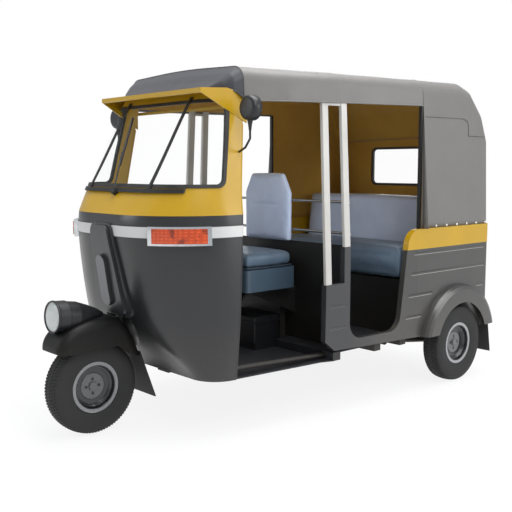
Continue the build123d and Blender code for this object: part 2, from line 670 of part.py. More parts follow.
with BuildPart() as rear_mudguards:
    c = FENDER_CORNER_R * (1 - sin(radians(45)))
    outer = [(BODY_HALF_W, FENDER_R), (FENDER_HALF_W - FENDER_CORNER_R, FENDER_R - 3),
             (FENDER_HALF_W - c, FENDER_R - c - 3),
             (FENDER_HALF_W, FENDER_R - FENDER_CORNER_R - 3), (FENDER_HALF_W, FENDER_LIP_R)]
    inner = [(FENDER_HALF_W - FENDER_T, FENDER_LIP_R),
             (FENDER_HALF_W - FENDER_T, FENDER_R - FENDER_CORNER_R - 4),
             (FENDER_HALF_W - c - FENDER_T, FENDER_R - c - 7),
             (FENDER_HALF_W - FENDER_CORNER_R, FENDER_R - FENDER_T - 3),
             (BODY_HALF_W, FENDER_R - FENDER_T)]
    add(half_ring(outer + inner, FENDER_LOW_Z))
    mirror(about=Plane.YZ)
finish(rear_mudguards, "rear_mudguards")

with BuildPart() as wheel_housings:
    skin = [(BODY_HALF_W - PANEL, HOUSING_R), (HOUSING_IN_X, HOUSING_R), (HOUSING_IN_X, 60),
            (HOUSING_IN_X + FENDER_T, 60),
            (HOUSING_IN_X + FENDER_T, HOUSING_R - FENDER_T), (BODY_HALF_W - PANEL, HOUSING_R - FENDER_T)]
    add(half_ring(skin, SILL_REAR_Z))
    mirror(about=Plane.YZ)
finish(wheel_housings, "wheel_housings")

REAR_FLAP_IN_X, REAR_FLAP_OUT_X = 522.0, 634.0
REAR_FLAP_TOP = (1200.0, 330.0)
REAR_FLAP_FOOT = (1236.0, 124.0)

with BuildPart() as rear_mudflaps:
    add(side_prism([REAR_FLAP_TOP, (REAR_FLAP_TOP[0] + FLAP_T, REAR_FLAP_TOP[1]),
                    (REAR_FLAP_FOOT[0] + FLAP_T, REAR_FLAP_FOOT[1]), REAR_FLAP_FOOT], 700))
    add(block((REAR_FLAP_IN_X, 1100, 100), (REAR_FLAP_OUT_X, 1300, 400)), mode=Mode.INTERSECT)
    mirror(about=Plane.YZ)
    add(side_panels.part, mode=Mode.SUBTRACT)
    add(rear_mudguards.part, mode=Mode.SUBTRACT)
    add(rear_panel.part, mode=Mode.SUBTRACT)
finish(rear_mudflaps, "rear_mudflaps")

# ---------------------------------------------------------------- floor, chassis and engine
STEP_Y = -50.0
CABIN_FLOOR_Z = 300.0
FLOOR_REAR_Y = 520.0
FLOOR_GAP = 0.3
TUNNEL_W, TUNNEL_H = 90.0, 50.0
RAIL_X, RAIL_W, RAIL_H = 300.0, 50.0, 38.0
DOWN_TUBE_R = 28.0
HEAD_LOW_Z, HEAD_HIGH_Z = 600.0, 760.0
CHASSIS_REAR_Y = 1190.0

with BuildPart() as chassis_frame:
    head_low = (0, steer_y(HEAD_LOW_Z), HEAD_LOW_Z)
    head_high = (0, steer_y(HEAD_HIGH_Z), HEAD_HIGH_Z)
    add(tube_between(head_low, head_high, HEAD_TUBE_R))
    head_mid_z = (HEAD_LOW_Z + HEAD_HIGH_Z) / 2
    add(tube_between((0, steer_y(head_mid_z) + 8, head_mid_z), (0, -640, FLOOR_Z - TUNNEL_H / 2),
                     DOWN_TUBE_R))
    add(block((-TUNNEL_W / 2, -670, FLOOR_Z - TUNNEL_H), (TUNNEL_W / 2, STEP_Y + 40, FLOOR_Z)))
    add(block((-TUNNEL_W / 2, STEP_Y, FLOOR_Z - TUNNEL_H), (TUNNEL_W / 2, STEP_Y + 40, CABIN_FLOOR_Z)))
    for y in (STEP_Y, 260, FLOOR_REAR_Y - RAIL_W, CHASSIS_REAR_Y - RAIL_W):
        half_w = 560 if y < FLOOR_REAR_Y else RAIL_X
        add(block((-half_w, y, CABIN_FLOOR_Z - RAIL_H), (half_w, y + RAIL_W, CABIN_FLOOR_Z)))
    for x in (-RAIL_X, RAIL_X):
        add(block((x - RAIL_W / 2, STEP_Y, CABIN_FLOOR_Z - RAIL_H),
                  (x + RAIL_W / 2, CHASSIS_REAR_Y, CABIN_FLOOR_Z)))
    add(tube_between((0, steer_y(500), 500), (0, steer_y(900), 900), COLUMN_R + AXLE_PLAY),
        mode=Mode.SUBTRACT)
finish(chassis_frame, "chassis_frame")

with BuildPart() as floor_pan:
    add(LOWER_FORM)
    add(cowl_solid(COWL_LOWER, -SKIN - FLOOR_GAP, back=2), mode=Mode.INTERSECT)
    add(block((-700, -1200, FLOOR_Z), (700, -500, FLOOR_Z + FLOOR_T)), mode=Mode.INTERSECT)
    add(plan_prism([(-494, -628), (494, -628), (538, SIDE_FRONT_Y), (562, STEP_Y), (-562, STEP_Y),
                    (-538, SIDE_FRONT_Y)],
                   FLOOR_Z, FLOOR_Z + FLOOR_T))
    add(block((-562, STEP_Y - FLOOR_T, FLOOR_Z), (562, STEP_Y, CABIN_FLOOR_Z + FLOOR_T)))
    add(plan_prism([(-562, STEP_Y - FLOOR_T), (562, STEP_Y - FLOOR_T), (569, FLOOR_REAR_Y),
                    (-569, FLOOR_REAR_Y)],
                   CABIN_FLOOR_Z, CABIN_FLOOR_Z + FLOOR_T))
    for neighbour in (chassis_frame, side_panels, cowl_lower):
        add(neighbour.part, mode=Mode.SUBTRACT)
finish(floor_pan, "floor_pan")

# one bent sheet: firewall under the rear seat, shelf over the engine, riser and parcel shelf
SEAT_SHELF_Z = 606.0
RISER_Y = 965.0
PARCEL_Z = 862.0
BULKHEAD_T = 4.0
BULKHEAD_HALF_W = 569.5

with BuildPart() as rear_bulkhead:
    route = [(FLOOR_REAR_Y, CABIN_FLOOR_Z + FLOOR_T), (FLOOR_REAR_Y, SEAT_SHELF_Z), (RISER_Y, SEAT_SHELF_Z),
             (RISER_Y, PARCEL_Z), (REAR_FACE_Y - BELT_REAR_T, PARCEL_Z)]
    back = [(REAR_FACE_Y - BELT_REAR_T, PARCEL_Z - BULKHEAD_T),
            (RISER_Y + BULKHEAD_T, PARCEL_Z - BULKHEAD_T),
            (RISER_Y + BULKHEAD_T, SEAT_SHELF_Z - BULKHEAD_T),
            (FLOOR_REAR_Y + BULKHEAD_T, SEAT_SHELF_Z - BULKHEAD_T),
            (FLOOR_REAR_Y + BULKHEAD_T, CABIN_FLOOR_Z + FLOOR_T)]
    add(side_prism(route + back, BULKHEAD_HALF_W))
    for neighbour in (belt_rails, side_panels):
        add(neighbour.part, mode=Mode.SUBTRACT)
finish(rear_bulkhead, "rear_bulkhead")

ENGINE_LOW, ENGINE_HIGH = (-190.0, 640.0, 236.0), (190.0, 1090.0, 560.0)
with BuildPart() as engine_block:
    add(block(ENGINE_LOW, ENGINE_HIGH))
    fillet(edges(), 18)
    add(chassis_frame.part, mode=Mode.SUBTRACT)
finish(engine_block, "engine_block")

# trailing arms with their axles, and a spring leg from each arm up to the bulkhead shelf
ARM_PIVOT_X, ARM_PIVOT_Y, ARM_PIVOT_Z = 340.0, 560.0, 246.0
ARM_END_X = 462.0
ARM_R = 22.0
PIVOT_TUBE_R = 24.0
SPRING_X, SPRING_Y, SPRING_R = 425.0, 850.0, 30.0
AXLE_END_X = TRACK / 2 + 10.0

with BuildPart() as rear_suspension:
    add(tube_between((ARM_PIVOT_X - 70, ARM_PIVOT_Y, ARM_PIVOT_Z),
                     (ARM_PIVOT_X + 50, ARM_PIVOT_Y, ARM_PIVOT_Z), PIVOT_TUBE_R))
    add(tube_between((ARM_PIVOT_X, ARM_PIVOT_Y, ARM_PIVOT_Z), (ARM_END_X - 24, REAR_AXLE_Y, TYRE_R), ARM_R))
    add(tube_between((ARM_END_X - 48, REAR_AXLE_Y, TYRE_R), (ARM_END_X, REAR_AXLE_Y, TYRE_R), 2 * ARM_R))
    add(tube_between((ENGINE_HIGH[0], REAR_AXLE_Y, 262), (ARM_END_X - 40, REAR_AXLE_Y, TYRE_R), AXLE_R))
    add(tube_between((ARM_END_X - 10, REAR_AXLE_Y, TYRE_R), (AXLE_END_X, REAR_AXLE_Y, TYRE_R), AXLE_R))
    add(tube_between((SPRING_X, SPRING_Y, ARM_PIVOT_Z - 16),
                     (SPRING_X, SPRING_Y + 20, SEAT_SHELF_Z - BULKHEAD_T), SPRING_R))
    add(block((-900, 0, SEAT_SHELF_Z - BULKHEAD_T), (900, 1300, 900)), mode=Mode.SUBTRACT)
    mirror(about=Plane.YZ)
    add(chassis_frame.part, mode=Mode.SUBTRACT)
    add(engine_block.part, mode=Mode.SUBTRACT)
finish(rear_suspension, "rear_suspension")

SILENCER_X, SILENCER_Z, SILENCER_R = -345.0, 226.0, 36.0
TAIL_PIPE_R = 15.0
with BuildPart() as exhaust:
    add(tube_between((SILENCER_X, 960, SILENCER_Z), (SILENCER_X, 1170, SILENCER_Z), SILENCER_R))
    add(tube_between((SILENCER_X, 1160, SILENCER_Z), (SILENCER_X, 1262, SILENCER_Z - 12), TAIL_PIPE_R))
    add(tube_between((ENGINE_LOW[0], 1050, 300), (SILENCER_X, 1050, SILENCER_Z + 10), TAIL_PIPE_R))
    add(tube_between((ENGINE_LOW[0], 1050, 300), (SILENCER_X, 1050, SILENCER_Z + 10), TAIL_PIPE_R - 3),
        mode=Mode.SUBTRACT)
    add(engine_block.part, mode=Mode.SUBTRACT)
    add(chassis_frame.part, mode=Mode.SUBTRACT)
    add(rear_suspension.part, mode=Mode.SUBTRACT)
finish(exhaust, "exhaust")

BUMPER_R = 16.0
BUMPER_HALF_W = 430.0
BUMPER_Z = 290.0
BUMPER_STAY_X = 300.0
with BuildPart() as rear_bumper:
    bumper_y = BUMPER_REAR_Y - BUMPER_R
    add(tube_between((-BUMPER_HALF_W, bumper_y, BUMPER_Z), (BUMPER_HALF_W, bumper_y, BUMPER_Z), BUMPER_R))
    fillet(edges(), 8)
    for x in (-BUMPER_STAY_X, BUMPER_STAY_X):
        add(block((x - 15, CHASSIS_REAR_Y, BUMPER_Z - 22), (x + 15, bumper_y, BUMPER_Z - 10)))
    add(rear_panel.part, mode=Mode.SUBTRACT)
finish(rear_bumper, "rear_bumper")

# ---------------------------------------------------------------- partition, poles and rails
POLE_W, POLE_DEPTH, POLE_R = 18.0, 41.0, 3.0
POLE_HEAD_Z = 1524.0
# foot (x, y, z) and head (x, y, z) of each left hand pole's centre line
POLES = {
    "front": ((560.0, -96.0, B_TOP_Z), (511.0, -84.5, POLE_HEAD_Z)),
    "rear": ((567.0, 27.5, STRIP_TOP_Z), (531.0, 26.5, POLE_HEAD_Z)),
}
BRIDGE_LOW_Z, BRIDGE_HIGH_Z = VALANCE_Z - 10.0, VALANCE_Z + 3.0
PARTITION_Y, PARTITION_T, PARTITION_TOP_Z = 60.0, 4.0, 822.0


def pole(foot, head):
    """A square post between two points, level at foot and head."""
    with BuildPart() as post:
        for point in (foot, head):
            with BuildSketch(Plane.XY.offset(point[2])):
                with Locations((point[0], point[1])):
                    RectangleRounded(POLE_W, POLE_DEPTH, POLE_R)
        loft()
    return post.part


with BuildPart() as door_poles:
    for foot, head in POLES.values():
        add(pole(foot, head))
    front_head, rear_head = POLES["front"][1], POLES["rear"][1]
    add(plan_prism([(front_head[0] - POLE_W / 2, front_head[1]),
                    (front_head[0] + POLE_W / 2, front_head[1]),
                    (rear_head[0] + POLE_W / 2, rear_head[1]), (rear_head[0] - POLE_W / 2, rear_head[1])],
                   BRIDGE_LOW_Z, BRIDGE_HIGH_Z))
    # above the canopy's edge the heads stay inside its lining
    with BuildPart(mode=Mode.PRIVATE) as outside_lining:
        add(block((400, -200, BRIDGE_LOW_Z - 20), (700, 150, POLE_HEAD_Z + 40)))
        add(hood_solid(HOOD_FRONT, LINING_OUT - LINING, 1450), mode=Mode.SUBTRACT)
        add(VALANCE_CUT, mode=Mode.SUBTRACT)
    add(outside_lining.part, mode=Mode.SUBTRACT)
    mirror(about=Plane.YZ)
finish(door_poles, "door_poles")

RAIL_R, RAIL_BEND = 7.0, 12.0
PARTITION_RAIL_ZS = (1035.0, 880.0)
SEAT_RAIL_Y = PARTITION_Y + RAIL_R


def pole_point(name, z):
    """Centre of a left hand pole at height z."""
    (x0, y0, z0), (x1, y1, z1) = POLES[name]
    share = (z - z0) / (z1 - z0)
    return x0 + share * (x1 - x0), y0 + share * (y1 - y0)


with BuildPart() as partition_rails:
    for z in PARTITION_RAIL_ZS:
        x, y = pole_point("rear", z)
        rear_y = y + POLE_DEPTH / 2 - 1
        add(bent_bar([(-x, rear_y, z), (-x, SEAT_RAIL_Y, z), (x, SEAT_RAIL_Y, z), (x, rear_y, z)], RAIL_R,
                     RAIL_BEND))
    add(door_poles.part, mode=Mode.SUBTRACT)
finish(partition_rails, "partition_rails")

PARTITION_HALF_W, PARTITION_CORNER_R, FLANGE_W = 560.0, 30.0, 22.0
SEAT_BASE_LOW_Z = 590.0

with BuildPart() as partition_panel:
    add(block((-PARTITION_HALF_W, PARTITION_Y, CABIN_FLOOR_Z + FLOOR_T),
              (PARTITION_HALF_W, PARTITION_Y + PARTITION_T, PARTITION_TOP_Z)))
    fillet(edges().filter_by(Axis.Y).group_by(Axis.Z)[-1], PARTITION_CORNER_R)
    # flanges against the side strips
    for x in (-PARTITION_HALF_W, PARTITION_HALF_W - FLANGE_W):
        add(block((x, DOOR_FRONT_Y - 12, DOOR_SILL_Z + DOOR_CORNER_R),
                  (x + FLANGE_W, PARTITION_Y + 1, PARTITION_TOP_Z - PARTITION_CORNER_R)))
    # brackets, cross bar and post that carry the driver's seat
    for x in (-180, 180):
        add(side_prism([(PARTITION_Y, 585), (-250, 585), (-250, 570), (PARTITION_Y, 440)],
                       3).moved(Location((x, 0, 0))))
    add(block((-150, -20, 440), (150, PARTITION_Y, 480)))
    add(block((-150, -20, CABIN_FLOOR_Z + FLOOR_T), (150, 20, SEAT_BASE_LOW_Z)))
    for neighbour in (side_panels, door_poles, partition_rails):
        add(neighbour.part, mode=Mode.SUBTRACT)
finish(partition_panel, "partition_panel")

with BuildPart() as rear_posts:
    add(block((565, CANOPY_SEAM_Y - 15, WAIST_Z), (583, CANOPY_SEAM_Y - 1, VALANCE_Z + 20)))
    mirror(about=Plane.YZ)
    for neighbour in (canopy_front, canopy_rear, roof_lining, belt_rails, side_panels):
        add(neighbour.part, mode=Mode.SUBTRACT)
finish(rear_posts, "rear_posts")

SILL_TUBE_R = 12.0
with BuildPart() as sill_tubes:
    add(tube_between((470, -600, 306), (500, STEP_Y + 10, 286), SILL_TUBE_R))
    mirror(about=Plane.YZ)
    for neighbour in (cowl_lower, floor_pan, chassis_frame, side_panels):
        add(neighbour.part, mode=Mode.SUBTRACT)
finish(sill_tubes, "sill_tubes")

# ---------------------------------------------------------------- seats
CUSHION_GAP = 0.3
DRIVER_SEAT_HALF_W = 245.0
DRIVER_SEAT_MID_Z, DRIVER_SEAT_TOP_Z = 700.0, 790.0
DRIVER_SEAT_FRONT_Y = -335.0
BACKREST_Y = 3.0
BACKREST_OUTLINE = [(-182, 806), (182, 806), (182, 1110), (124, 1192), (-124, 1192), (-182, 1110)]

with BuildPart() as driver_seat_base:
    add(block((-DRIVER_SEAT_HALF_W, DRIVER_SEAT_FRONT_Y, SEAT_BASE_LOW_Z),
              (DRIVER_SEAT_HALF_W, 0, DRIVER_SEAT_MID_Z)))
    fillet(edges().filter_by(Axis.Z), 22)
    add(partition_panel.part, mode=Mode.SUBTRACT)
finish(driver_seat_base, "driver_seat_base")

with BuildPart() as driver_cushion:
    add(block((-DRIVER_SEAT_HALF_W, DRIVER_SEAT_FRONT_Y - 4, DRIVER_SEAT_MID_Z + CUSHION_GAP),
              (DRIVER_SEAT_HALF_W, -4, DRIVER_SEAT_TOP_Z)))
    fillet(edges(), 26)
finish(driver_cushion, "driver_cushion")

with BuildPart() as driver_backrest:
    add(front_prism(BACKREST_OUTLINE, BACKREST_Y, PARTITION_Y, 24))
    fillet(edges().group_by(Axis.Y)[0], 20)
finish(driver_backrest, "driver_backrest")

BOX_HALF_W, BOX_FRONT_Y, BOX_REAR_Y, BOX_TOP_Z = 150.0, -205.0, -26.0, 437.0
BOX_FOOT_REAR_Y = STEP_Y - FLOOR_T - 5.0
BOX_WALL, BOX_RIM = 6.0, 5.0
with BuildPart() as battery_box:
    # the back of the box stands on the step, the front on the lower floor
    add(block((-BOX_HALF_W, BOX_FRONT_Y, CABIN_FLOOR_Z + FLOOR_T), (BOX_HALF_W, BOX_REAR_Y, BOX_TOP_Z)))
    fillet(edges().filter_by(Axis.Z), 10)
    add(block((-BOX_HALF_W, BOX_FRONT_Y + 10, FLOOR_Z + FLOOR_T),
              (BOX_HALF_W, BOX_FOOT_REAR_Y, BOX_TOP_Z - BOX_WALL)))
    add(block((-BOX_HALF_W - BOX_RIM, BOX_FRONT_Y - BOX_RIM, BOX_TOP_Z - 32),
              (BOX_HALF_W + BOX_RIM, BOX_REAR_Y + BOX_RIM, BOX_TOP_Z - 22)))
    add(block((-BOX_HALF_W + BOX_WALL, BOX_FRONT_Y + BOX_WALL, CABIN_FLOOR_Z + FLOOR_T + BOX_WALL),
              (BOX_HALF_W - BOX_WALL, BOX_REAR_Y - BOX_WALL, BOX_TOP_Z - BOX_WALL)), mode=Mode.SUBTRACT)
finish(battery_box, "battery_box")

CUSHION_FRONT_Y, CUSHION_REAR_Y, CUSHION_HALF_W, CUSHION_TOP_Z = 462.0, 850.0, 560.0, 792.0
REST_FOOT_Y, REST_HEAD_Y, REST_T, REST_HEAD_Z, REST_HALF_W = 852.0, 905.0, 105.0, 1062.0, 558.0

with BuildPart() as rear_cushion:
    with BuildSketch(Plane.YZ.offset(-CUSHION_HALF_W)):
        with BuildLine():
            Polyline((CUSHION_FRONT_Y, SEAT_SHELF_Z + CUSHION_GAP),
                     (CUSHION_REAR_Y, SEAT_SHELF_Z + CUSHION_GAP),
                     (CUSHION_REAR_Y, CUSHION_TOP_Z - 18), (CUSHION_FRONT_Y, CUSHION_TOP_Z), close=True)
        make_face()
        fillet(vertices(), 42)
    extrude(amount=2 * CUSHION_HALF_W)
    fillet(edges().group_by(Axis.X)[0] + edges().group_by(Axis.X)[-1], 34)
finish(rear_cushion, "rear_cushion")

with BuildPart() as rear_backrest:
    with BuildSketch(Plane.YZ.offset(-REST_HALF_W)):
        with BuildLine():
            Polyline((REST_FOOT_Y, PARCEL_Z - 225), (REST_FOOT_Y + REST_T, PARCEL_Z - 225),
                     (REST_HEAD_Y + REST_T, REST_HEAD_Z), (REST_HEAD_Y, REST_HEAD_Z), close=True)
        make_face()
        fillet(vertices(), 34)
    extrude(amount=2 * REST_HALF_W)
    fillet(edges().group_by(Axis.X)[0] + edges().group_by(Axis.X)[-1], 30)
    add(block((-700, RISER_Y - CUSHION_GAP, SEAT_SHELF_Z), (700, 1300, PARCEL_Z + CUSHION_GAP)),
        mode=Mode.SUBTRACT)
    split(bisect_by=Plane(origin=(0, 0, SEAT_SHELF_Z + CUSHION_GAP)), keep=Keep.TOP)
finish(rear_backrest, "rear_backrest")

# ---------------------------------------------------------------- lamps, plate, mirrors, wiper
LAMP_X, LAMP_HALF_W, LAMP_LOW_Z, LAMP_HIGH_Z, LAMP_T = 480.0, 42.0, 560.0, 700.0, 28.0
with BuildPart() as tail_lamps:
    add(front_prism([(LAMP_X - LAMP_HALF_W, LAMP_LOW_Z), (LAMP_X + LAMP_HALF_W, LAMP_LOW_Z),
                     (LAMP_X + LAMP_HALF_W, LAMP_HIGH_Z), (LAMP_X - LAMP_HALF_W, LAMP_HIGH_Z)],
                    REAR_FACE_Y, REAR_FACE_Y + LAMP_T, 14))
    fillet(edges().group_by(Axis.Y)[-1], 8)
    mirror(about=Plane.YZ)
finish(tail_lamps, "tail_lamps")

PLATE_HALF_W, PLATE_LOW_Z, PLATE_HIGH_Z, PLATE_T = 100.0, 664.0, 756.0, 2.0
with BuildPart() as number_plate:
    add(front_prism([(-PLATE_HALF_W, PLATE_LOW_Z), (PLATE_HALF_W, PLATE_LOW_Z),
                     (PLATE_HALF_W, PLATE_HIGH_Z),
                     (-PLATE_HALF_W, PLATE_HIGH_Z)], REAR_FACE_Y, REAR_FACE_Y + PLATE_T, 8))
    add(PLATE_HOLES, mode=Mode.SUBTRACT)
finish(number_plate, "number_plate")

MIRROR_X, MIRROR_Y, MIRROR_Z = 526.0, -565.0, 1462.0
MIRROR_R, MIRROR_DEPTH = 54.0, 46.0
MIRROR_STALK_R = 5.0
MIRROR_FOOT = (448.0, -560.0, 1274.0)
with BuildPart() as mirrors:
    # cup profile: radius, distance behind the glass
    with BuildSketch(Plane(origin=(MIRROR_X, MIRROR_Y, MIRROR_Z), x_dir=(1, 0, 0), z_dir=(0, 0, 1))):
        with BuildLine():
            Polyline((0, -MIRROR_DEPTH / 2), (24, -MIRROR_DEPTH / 2), (44, -14), (MIRROR_R, 10),
                     (MIRROR_R, MIRROR_DEPTH / 2), (MIRROR_R - 4, MIRROR_DEPTH / 2), (MIRROR_R - 4, 18),
                     (0, 18),
                     close=True)
        make_face()
    revolve(axis=Axis((MIRROR_X, MIRROR_Y, MIRROR_Z), (0, 1, 0)))
    add(bent_bar([MIRROR_FOOT, (MIRROR_X - 24, MIRROR_Y - 6, 1292), (MIRROR_X, MIRROR_Y, 1330),
                  (MIRROR_X, MIRROR_Y, MIRROR_Z - MIRROR_R + 8)], MIRROR_STALK_R, 10))
    mirror(about=Plane.YZ)
    add(cowl_upper.part, mode=Mode.SUBTRACT)
finish(mirrors, "mirrors")

WIPER_PIVOT = (0.0, -919.0, 1089.0)
WIPER_ELBOW = (-85.0, -818.0, 1273.0)
WIPER_TIP = (-151.0, -718.0, 1440.0)
WIPER_ARM_R, WIPER_BLADE_R = 4.0, 6.0
SCREEN_NORMAL = (0.0, -0.857, 0.515)
with BuildPart() as wiper:
    outwards = Vector(*SCREEN_NORMAL)
    pivot, elbow, tip = Vector(*WIPER_PIVOT), Vector(*WIPER_ELBOW), Vector(*WIPER_TIP)
    add(tube_between(pivot - outwards * 8, pivot + outwards * 20, 13))
    add(tube_between(pivot + outwards * 14, elbow + outwards * 9, WIPER_ARM_R))
    add(tube_between(elbow + (elbow - tip) * 0.35 + outwards * 2, tip + outwards * 2, WIPER_BLADE_R))
    for neighbour in (cowl_upper, windscreen_rubber, windscreen_glass, windscreen_guard):
        add(neighbour.part, mode=Mode.SUBTRACT)
finish(wiper, "wiper")

# ---------------------------------------------------------------- steering
FORK_CROWN_Z = 470.0
LINK_PIVOT_Y, LINK_PIVOT_Z = -958.0, 196.0
LINK_R = 15.0
FRONT_AXLE_END_X = 10.0
with BuildPart() as front_fork:
    crown = (0, steer_y(FORK_CROWN_Z), FORK_CROWN_Z)
    add(tube_between(crown, (0, steer_y(HANDLEBAR_Z), HANDLEBAR_Z), COLUMN_R))
    add(bent_bar([(0, steer_y(FORK_CROWN_Z + 26), FORK_CROWN_Z + 26),
                  (0, steer_y(FORK_CROWN_Z), FORK_CROWN_Z),
                  (FORK_LEG_X, -950, 405), (FORK_LEG_X, LINK_PIVOT_Y, LINK_PIVOT_Z)], FORK_LEG_R, 12))
    add(tube_between((FORK_LEG_X - 18, LINK_PIVOT_Y, LINK_PIVOT_Z),
                     (FORK_LEG_X + 14, LINK_PIVOT_Y, LINK_PIVOT_Z), 20))
    add(tube_between((FORK_LEG_X, LINK_PIVOT_Y, LINK_PIVOT_Z), (FORK_LEG_X, FRONT_AXLE_Y, TYRE_R), LINK_R))
    add(tube_between((FORK_LEG_X - 18, FRONT_AXLE_Y, TYRE_R), (FORK_LEG_X + 24, FRONT_AXLE_Y, TYRE_R), 24))
    add(tube_between((FORK_LEG_X, FRONT_AXLE_Y, TYRE_R), (FRONT_AXLE_END_X, FRONT_AXLE_Y, TYRE_R), AXLE_R))
finish(front_fork, "front_fork")

GRIP_R, GRIP_LENGTH = 16.0, 112.0
with BuildPart() as handlebar:
    bar_y = steer_y(HANDLEBAR_Z) + 4
    add(tube_between((-HANDLEBAR_HALF, bar_y, HANDLEBAR_Z), (HANDLEBAR_HALF, bar_y, HANDLEBAR_Z),
                     HANDLEBAR_R))
    for side in (-1, 1):
        add(tube_between((side * (HANDLEBAR_HALF - GRIP_LENGTH), bar_y, HANDLEBAR_Z),
                         (side * HANDLEBAR_HALF, bar_y, HANDLEBAR_Z), GRIP_R))
    add(block((-60, bar_y - 34, HANDLEBAR_Z - 20), (60, bar_y + 34, HANDLEBAR_Z + 26)))
    add(front_fork.part, mode=Mode.SUBTRACT)
finish(handlebar, "handlebar")


def front_guard_form(inset, drop):
    """The front mudguard's outer form, made smaller by inset, its open edge lowered by drop."""
    crown = []
    for y, z in FRONT_GUARD_TOP:
        inwards = Vector(FRONT_AXLE_Y - y, TYRE_R - z).normalized() * inset
        crown.append((y + inwards.X, z + inwards.Y))
    low = [(y, z - drop) for y, z in FRONT_GUARD_LOW]
    if drop:
        low = [(crown[-1][0], crown[-1][1] - drop), *low, (crown[0][0], crown[0][1] - drop)]
    with BuildPart() as form:
        with BuildSketch(Plane.YZ.offset(-FRONT_GUARD_HALF_W + inset)):
            with BuildLine():
                Spline(*crown)
                Polyline(crown[-1], *low, crown[0])
            make_face()
        extrude(amount=2 * (FRONT_GUARD_HALF_W - inset))
        fillet(edges().filter_by(GeomType.BSPLINE), FRONT_GUARD_EDGE_R - inset)
    return form.part


with BuildPart() as front_mudguard:
    add(front_guard_form(0, 0))
    add(front_guard_form(MUDGUARD_T, 15), mode=Mode.SUBTRACT)
    add(front_fork.part, mode=Mode.SUBTRACT)
finish(front_mudguard, "front_mudguard")

FRONT_FLAP_HALF_W = 92.0
with BuildPart() as front_mudflap:
    add(side_prism([(-864, 356), (-860, 358), (-851, 331), (-777, 129), (-782, 127), (-857, 329)],
                   FRONT_FLAP_HALF_W))
    add(front_mudguard.part, mode=Mode.SUBTRACT)
finish(front_mudflap, "front_mudflap")

LAMP_FACE = Vector(0, -1253, 556)
LAMP_TAIL = Vector(0, -1000, 538)
LAMP_SHELL_T = 3.0
# outer profile of the headlamp: distance behind the face, radius
LAMP_PROFILE = [(0, 70), (48, 71), (56, 71), (60, 68), (110, 64), (165, 48), (215, 30), (248, 12)]


def lamp_form(profile):
    """A turned form on the headlamp's axis from (distance behind the face, radius) pairs."""
    along = (LAMP_TAIL - LAMP_FACE).normalized()
    with BuildPart() as form:
        with BuildSketch(Plane(origin=LAMP_FACE, x_dir=(1, 0, 0), z_dir=Vector(1, 0, 0).cross(along))):
            with BuildLine():
                Polyline((0, profile[0][0]), *[(r, s) for s, r in profile], (0, profile[-1][0]), close=True)
            make_face()
        revolve(axis=Axis(LAMP_FACE, along))
    return form.part


with BuildPart() as headlamp_shell:
    add(lamp_form(LAMP_PROFILE))
    add(lamp_form([(-1, 70 - LAMP_SHELL_T), (56, 68 - LAMP_SHELL_T), (110, 64 - LAMP_SHELL_T),
                   (165, 48 - LAMP_SHELL_T),
                   (215, 30 - LAMP_SHELL_T)]), mode=Mode.SUBTRACT)
    add(front_guard_form(0, 0), mode=Mode.SUBTRACT)
finish(headlamp_shell, "headlamp_shell")

with BuildPart() as headlamp_lens:
    add(lamp_form([(-9, 10), (-8, 30), (-4, 52), (1, 66), (4, 66.8), (9, 66.4)]))
    add(lamp_form([(-5, 8), (-4, 28), (0, 49), (4, 60), (10, 62)]), mode=Mode.SUBTRACT)
    add(headlamp_shell.part, mode=Mode.SUBTRACT)
    add(front_guard_form(0, 0), mode=Mode.SUBTRACT)
finish(headlamp_lens, "headlamp_lens")

# ---------------------------------------------------------------- wheels
# sections as (radius, distance outwards from the wheel's middle plane)
HUB_FACE_X = RIM_W / 2 - HUB_RECESS
DRUM_R, DRUM_BACK_X = 76.0, -40.0
CAP_R, CAP_PROUD = 19.5, 8.0
RIM_SECTION = [
    (0.0, HUB_FACE_X + CAP_PROUD), (CAP_R, HUB_FACE_X + CAP_PROUD), (CAP_R, HUB_FACE_X),
    (HUB_DISC_R, HUB_FACE_X),
    (HUB_DISC_R + 3, HUB_FACE_X - 3), (84.0, 10.0), (84.0, 16.0), (96.0, 22.0), (98.0, 40.0),
    (RIM_FLANGE_R, RIM_W / 2),
    (RIM_FLANGE_R, 38.0), (BEAD_R, 36.0), (100.0, 20.0), (88.0, 14.0),
    (88.0, -14.0), (100.0, -20.0), (BEAD_R, -36.0), (RIM_FLANGE_R, -38.0), (RIM_FLANGE_R, -RIM_W / 2),
    (98.0, -40.0), (96.0, -22.0), (84.0, -16.0), (84.0, HUB_FACE_X - 9),
    (DRUM_R, HUB_FACE_X - 9), (DRUM_R, DRUM_BACK_X), (30.0, DRUM_BACK_X), (30.0, HUB_FACE_X - HUB_LENGTH),
    (AXLE_R + AXLE_PLAY, HUB_FACE_X - HUB_LENGTH), (AXLE_R + AXLE_PLAY, HUB_FACE_X - 2),
    (0.0, HUB_FACE_X - 2),
]
TYRE_OUTER = [
    (BEAD_R + 0.3, 35.5), (RIM_FLANGE_R + 0.3, 37.5), (RIM_FLANGE_R + 2, 43.0), (140.0, 51.0),
    (165.0, TYRE_W / 2),
    (190.0, 52.0), (204.0, 47.0), (211.5, TREAD_W / 2), (TYRE_R, 26.0),
]
TYRE_INNER = [(203.0, 30.0), (192.0, 42.0), (165.0, 45.0), (140.0, 42.0), (118.0, 29.0),
              (BEAD_R + 0.3, 24.0)]
MIRRORED_OUTER = [(r, -x) for r, x in reversed(TYRE_OUTER)]
MIRRORED_INNER = [(r, -x) for r, x in reversed(TYRE_INNER)]
TYRE_SECTION = TYRE_OUTER + MIRRORED_OUTER + MIRRORED_INNER + TYRE_INNER


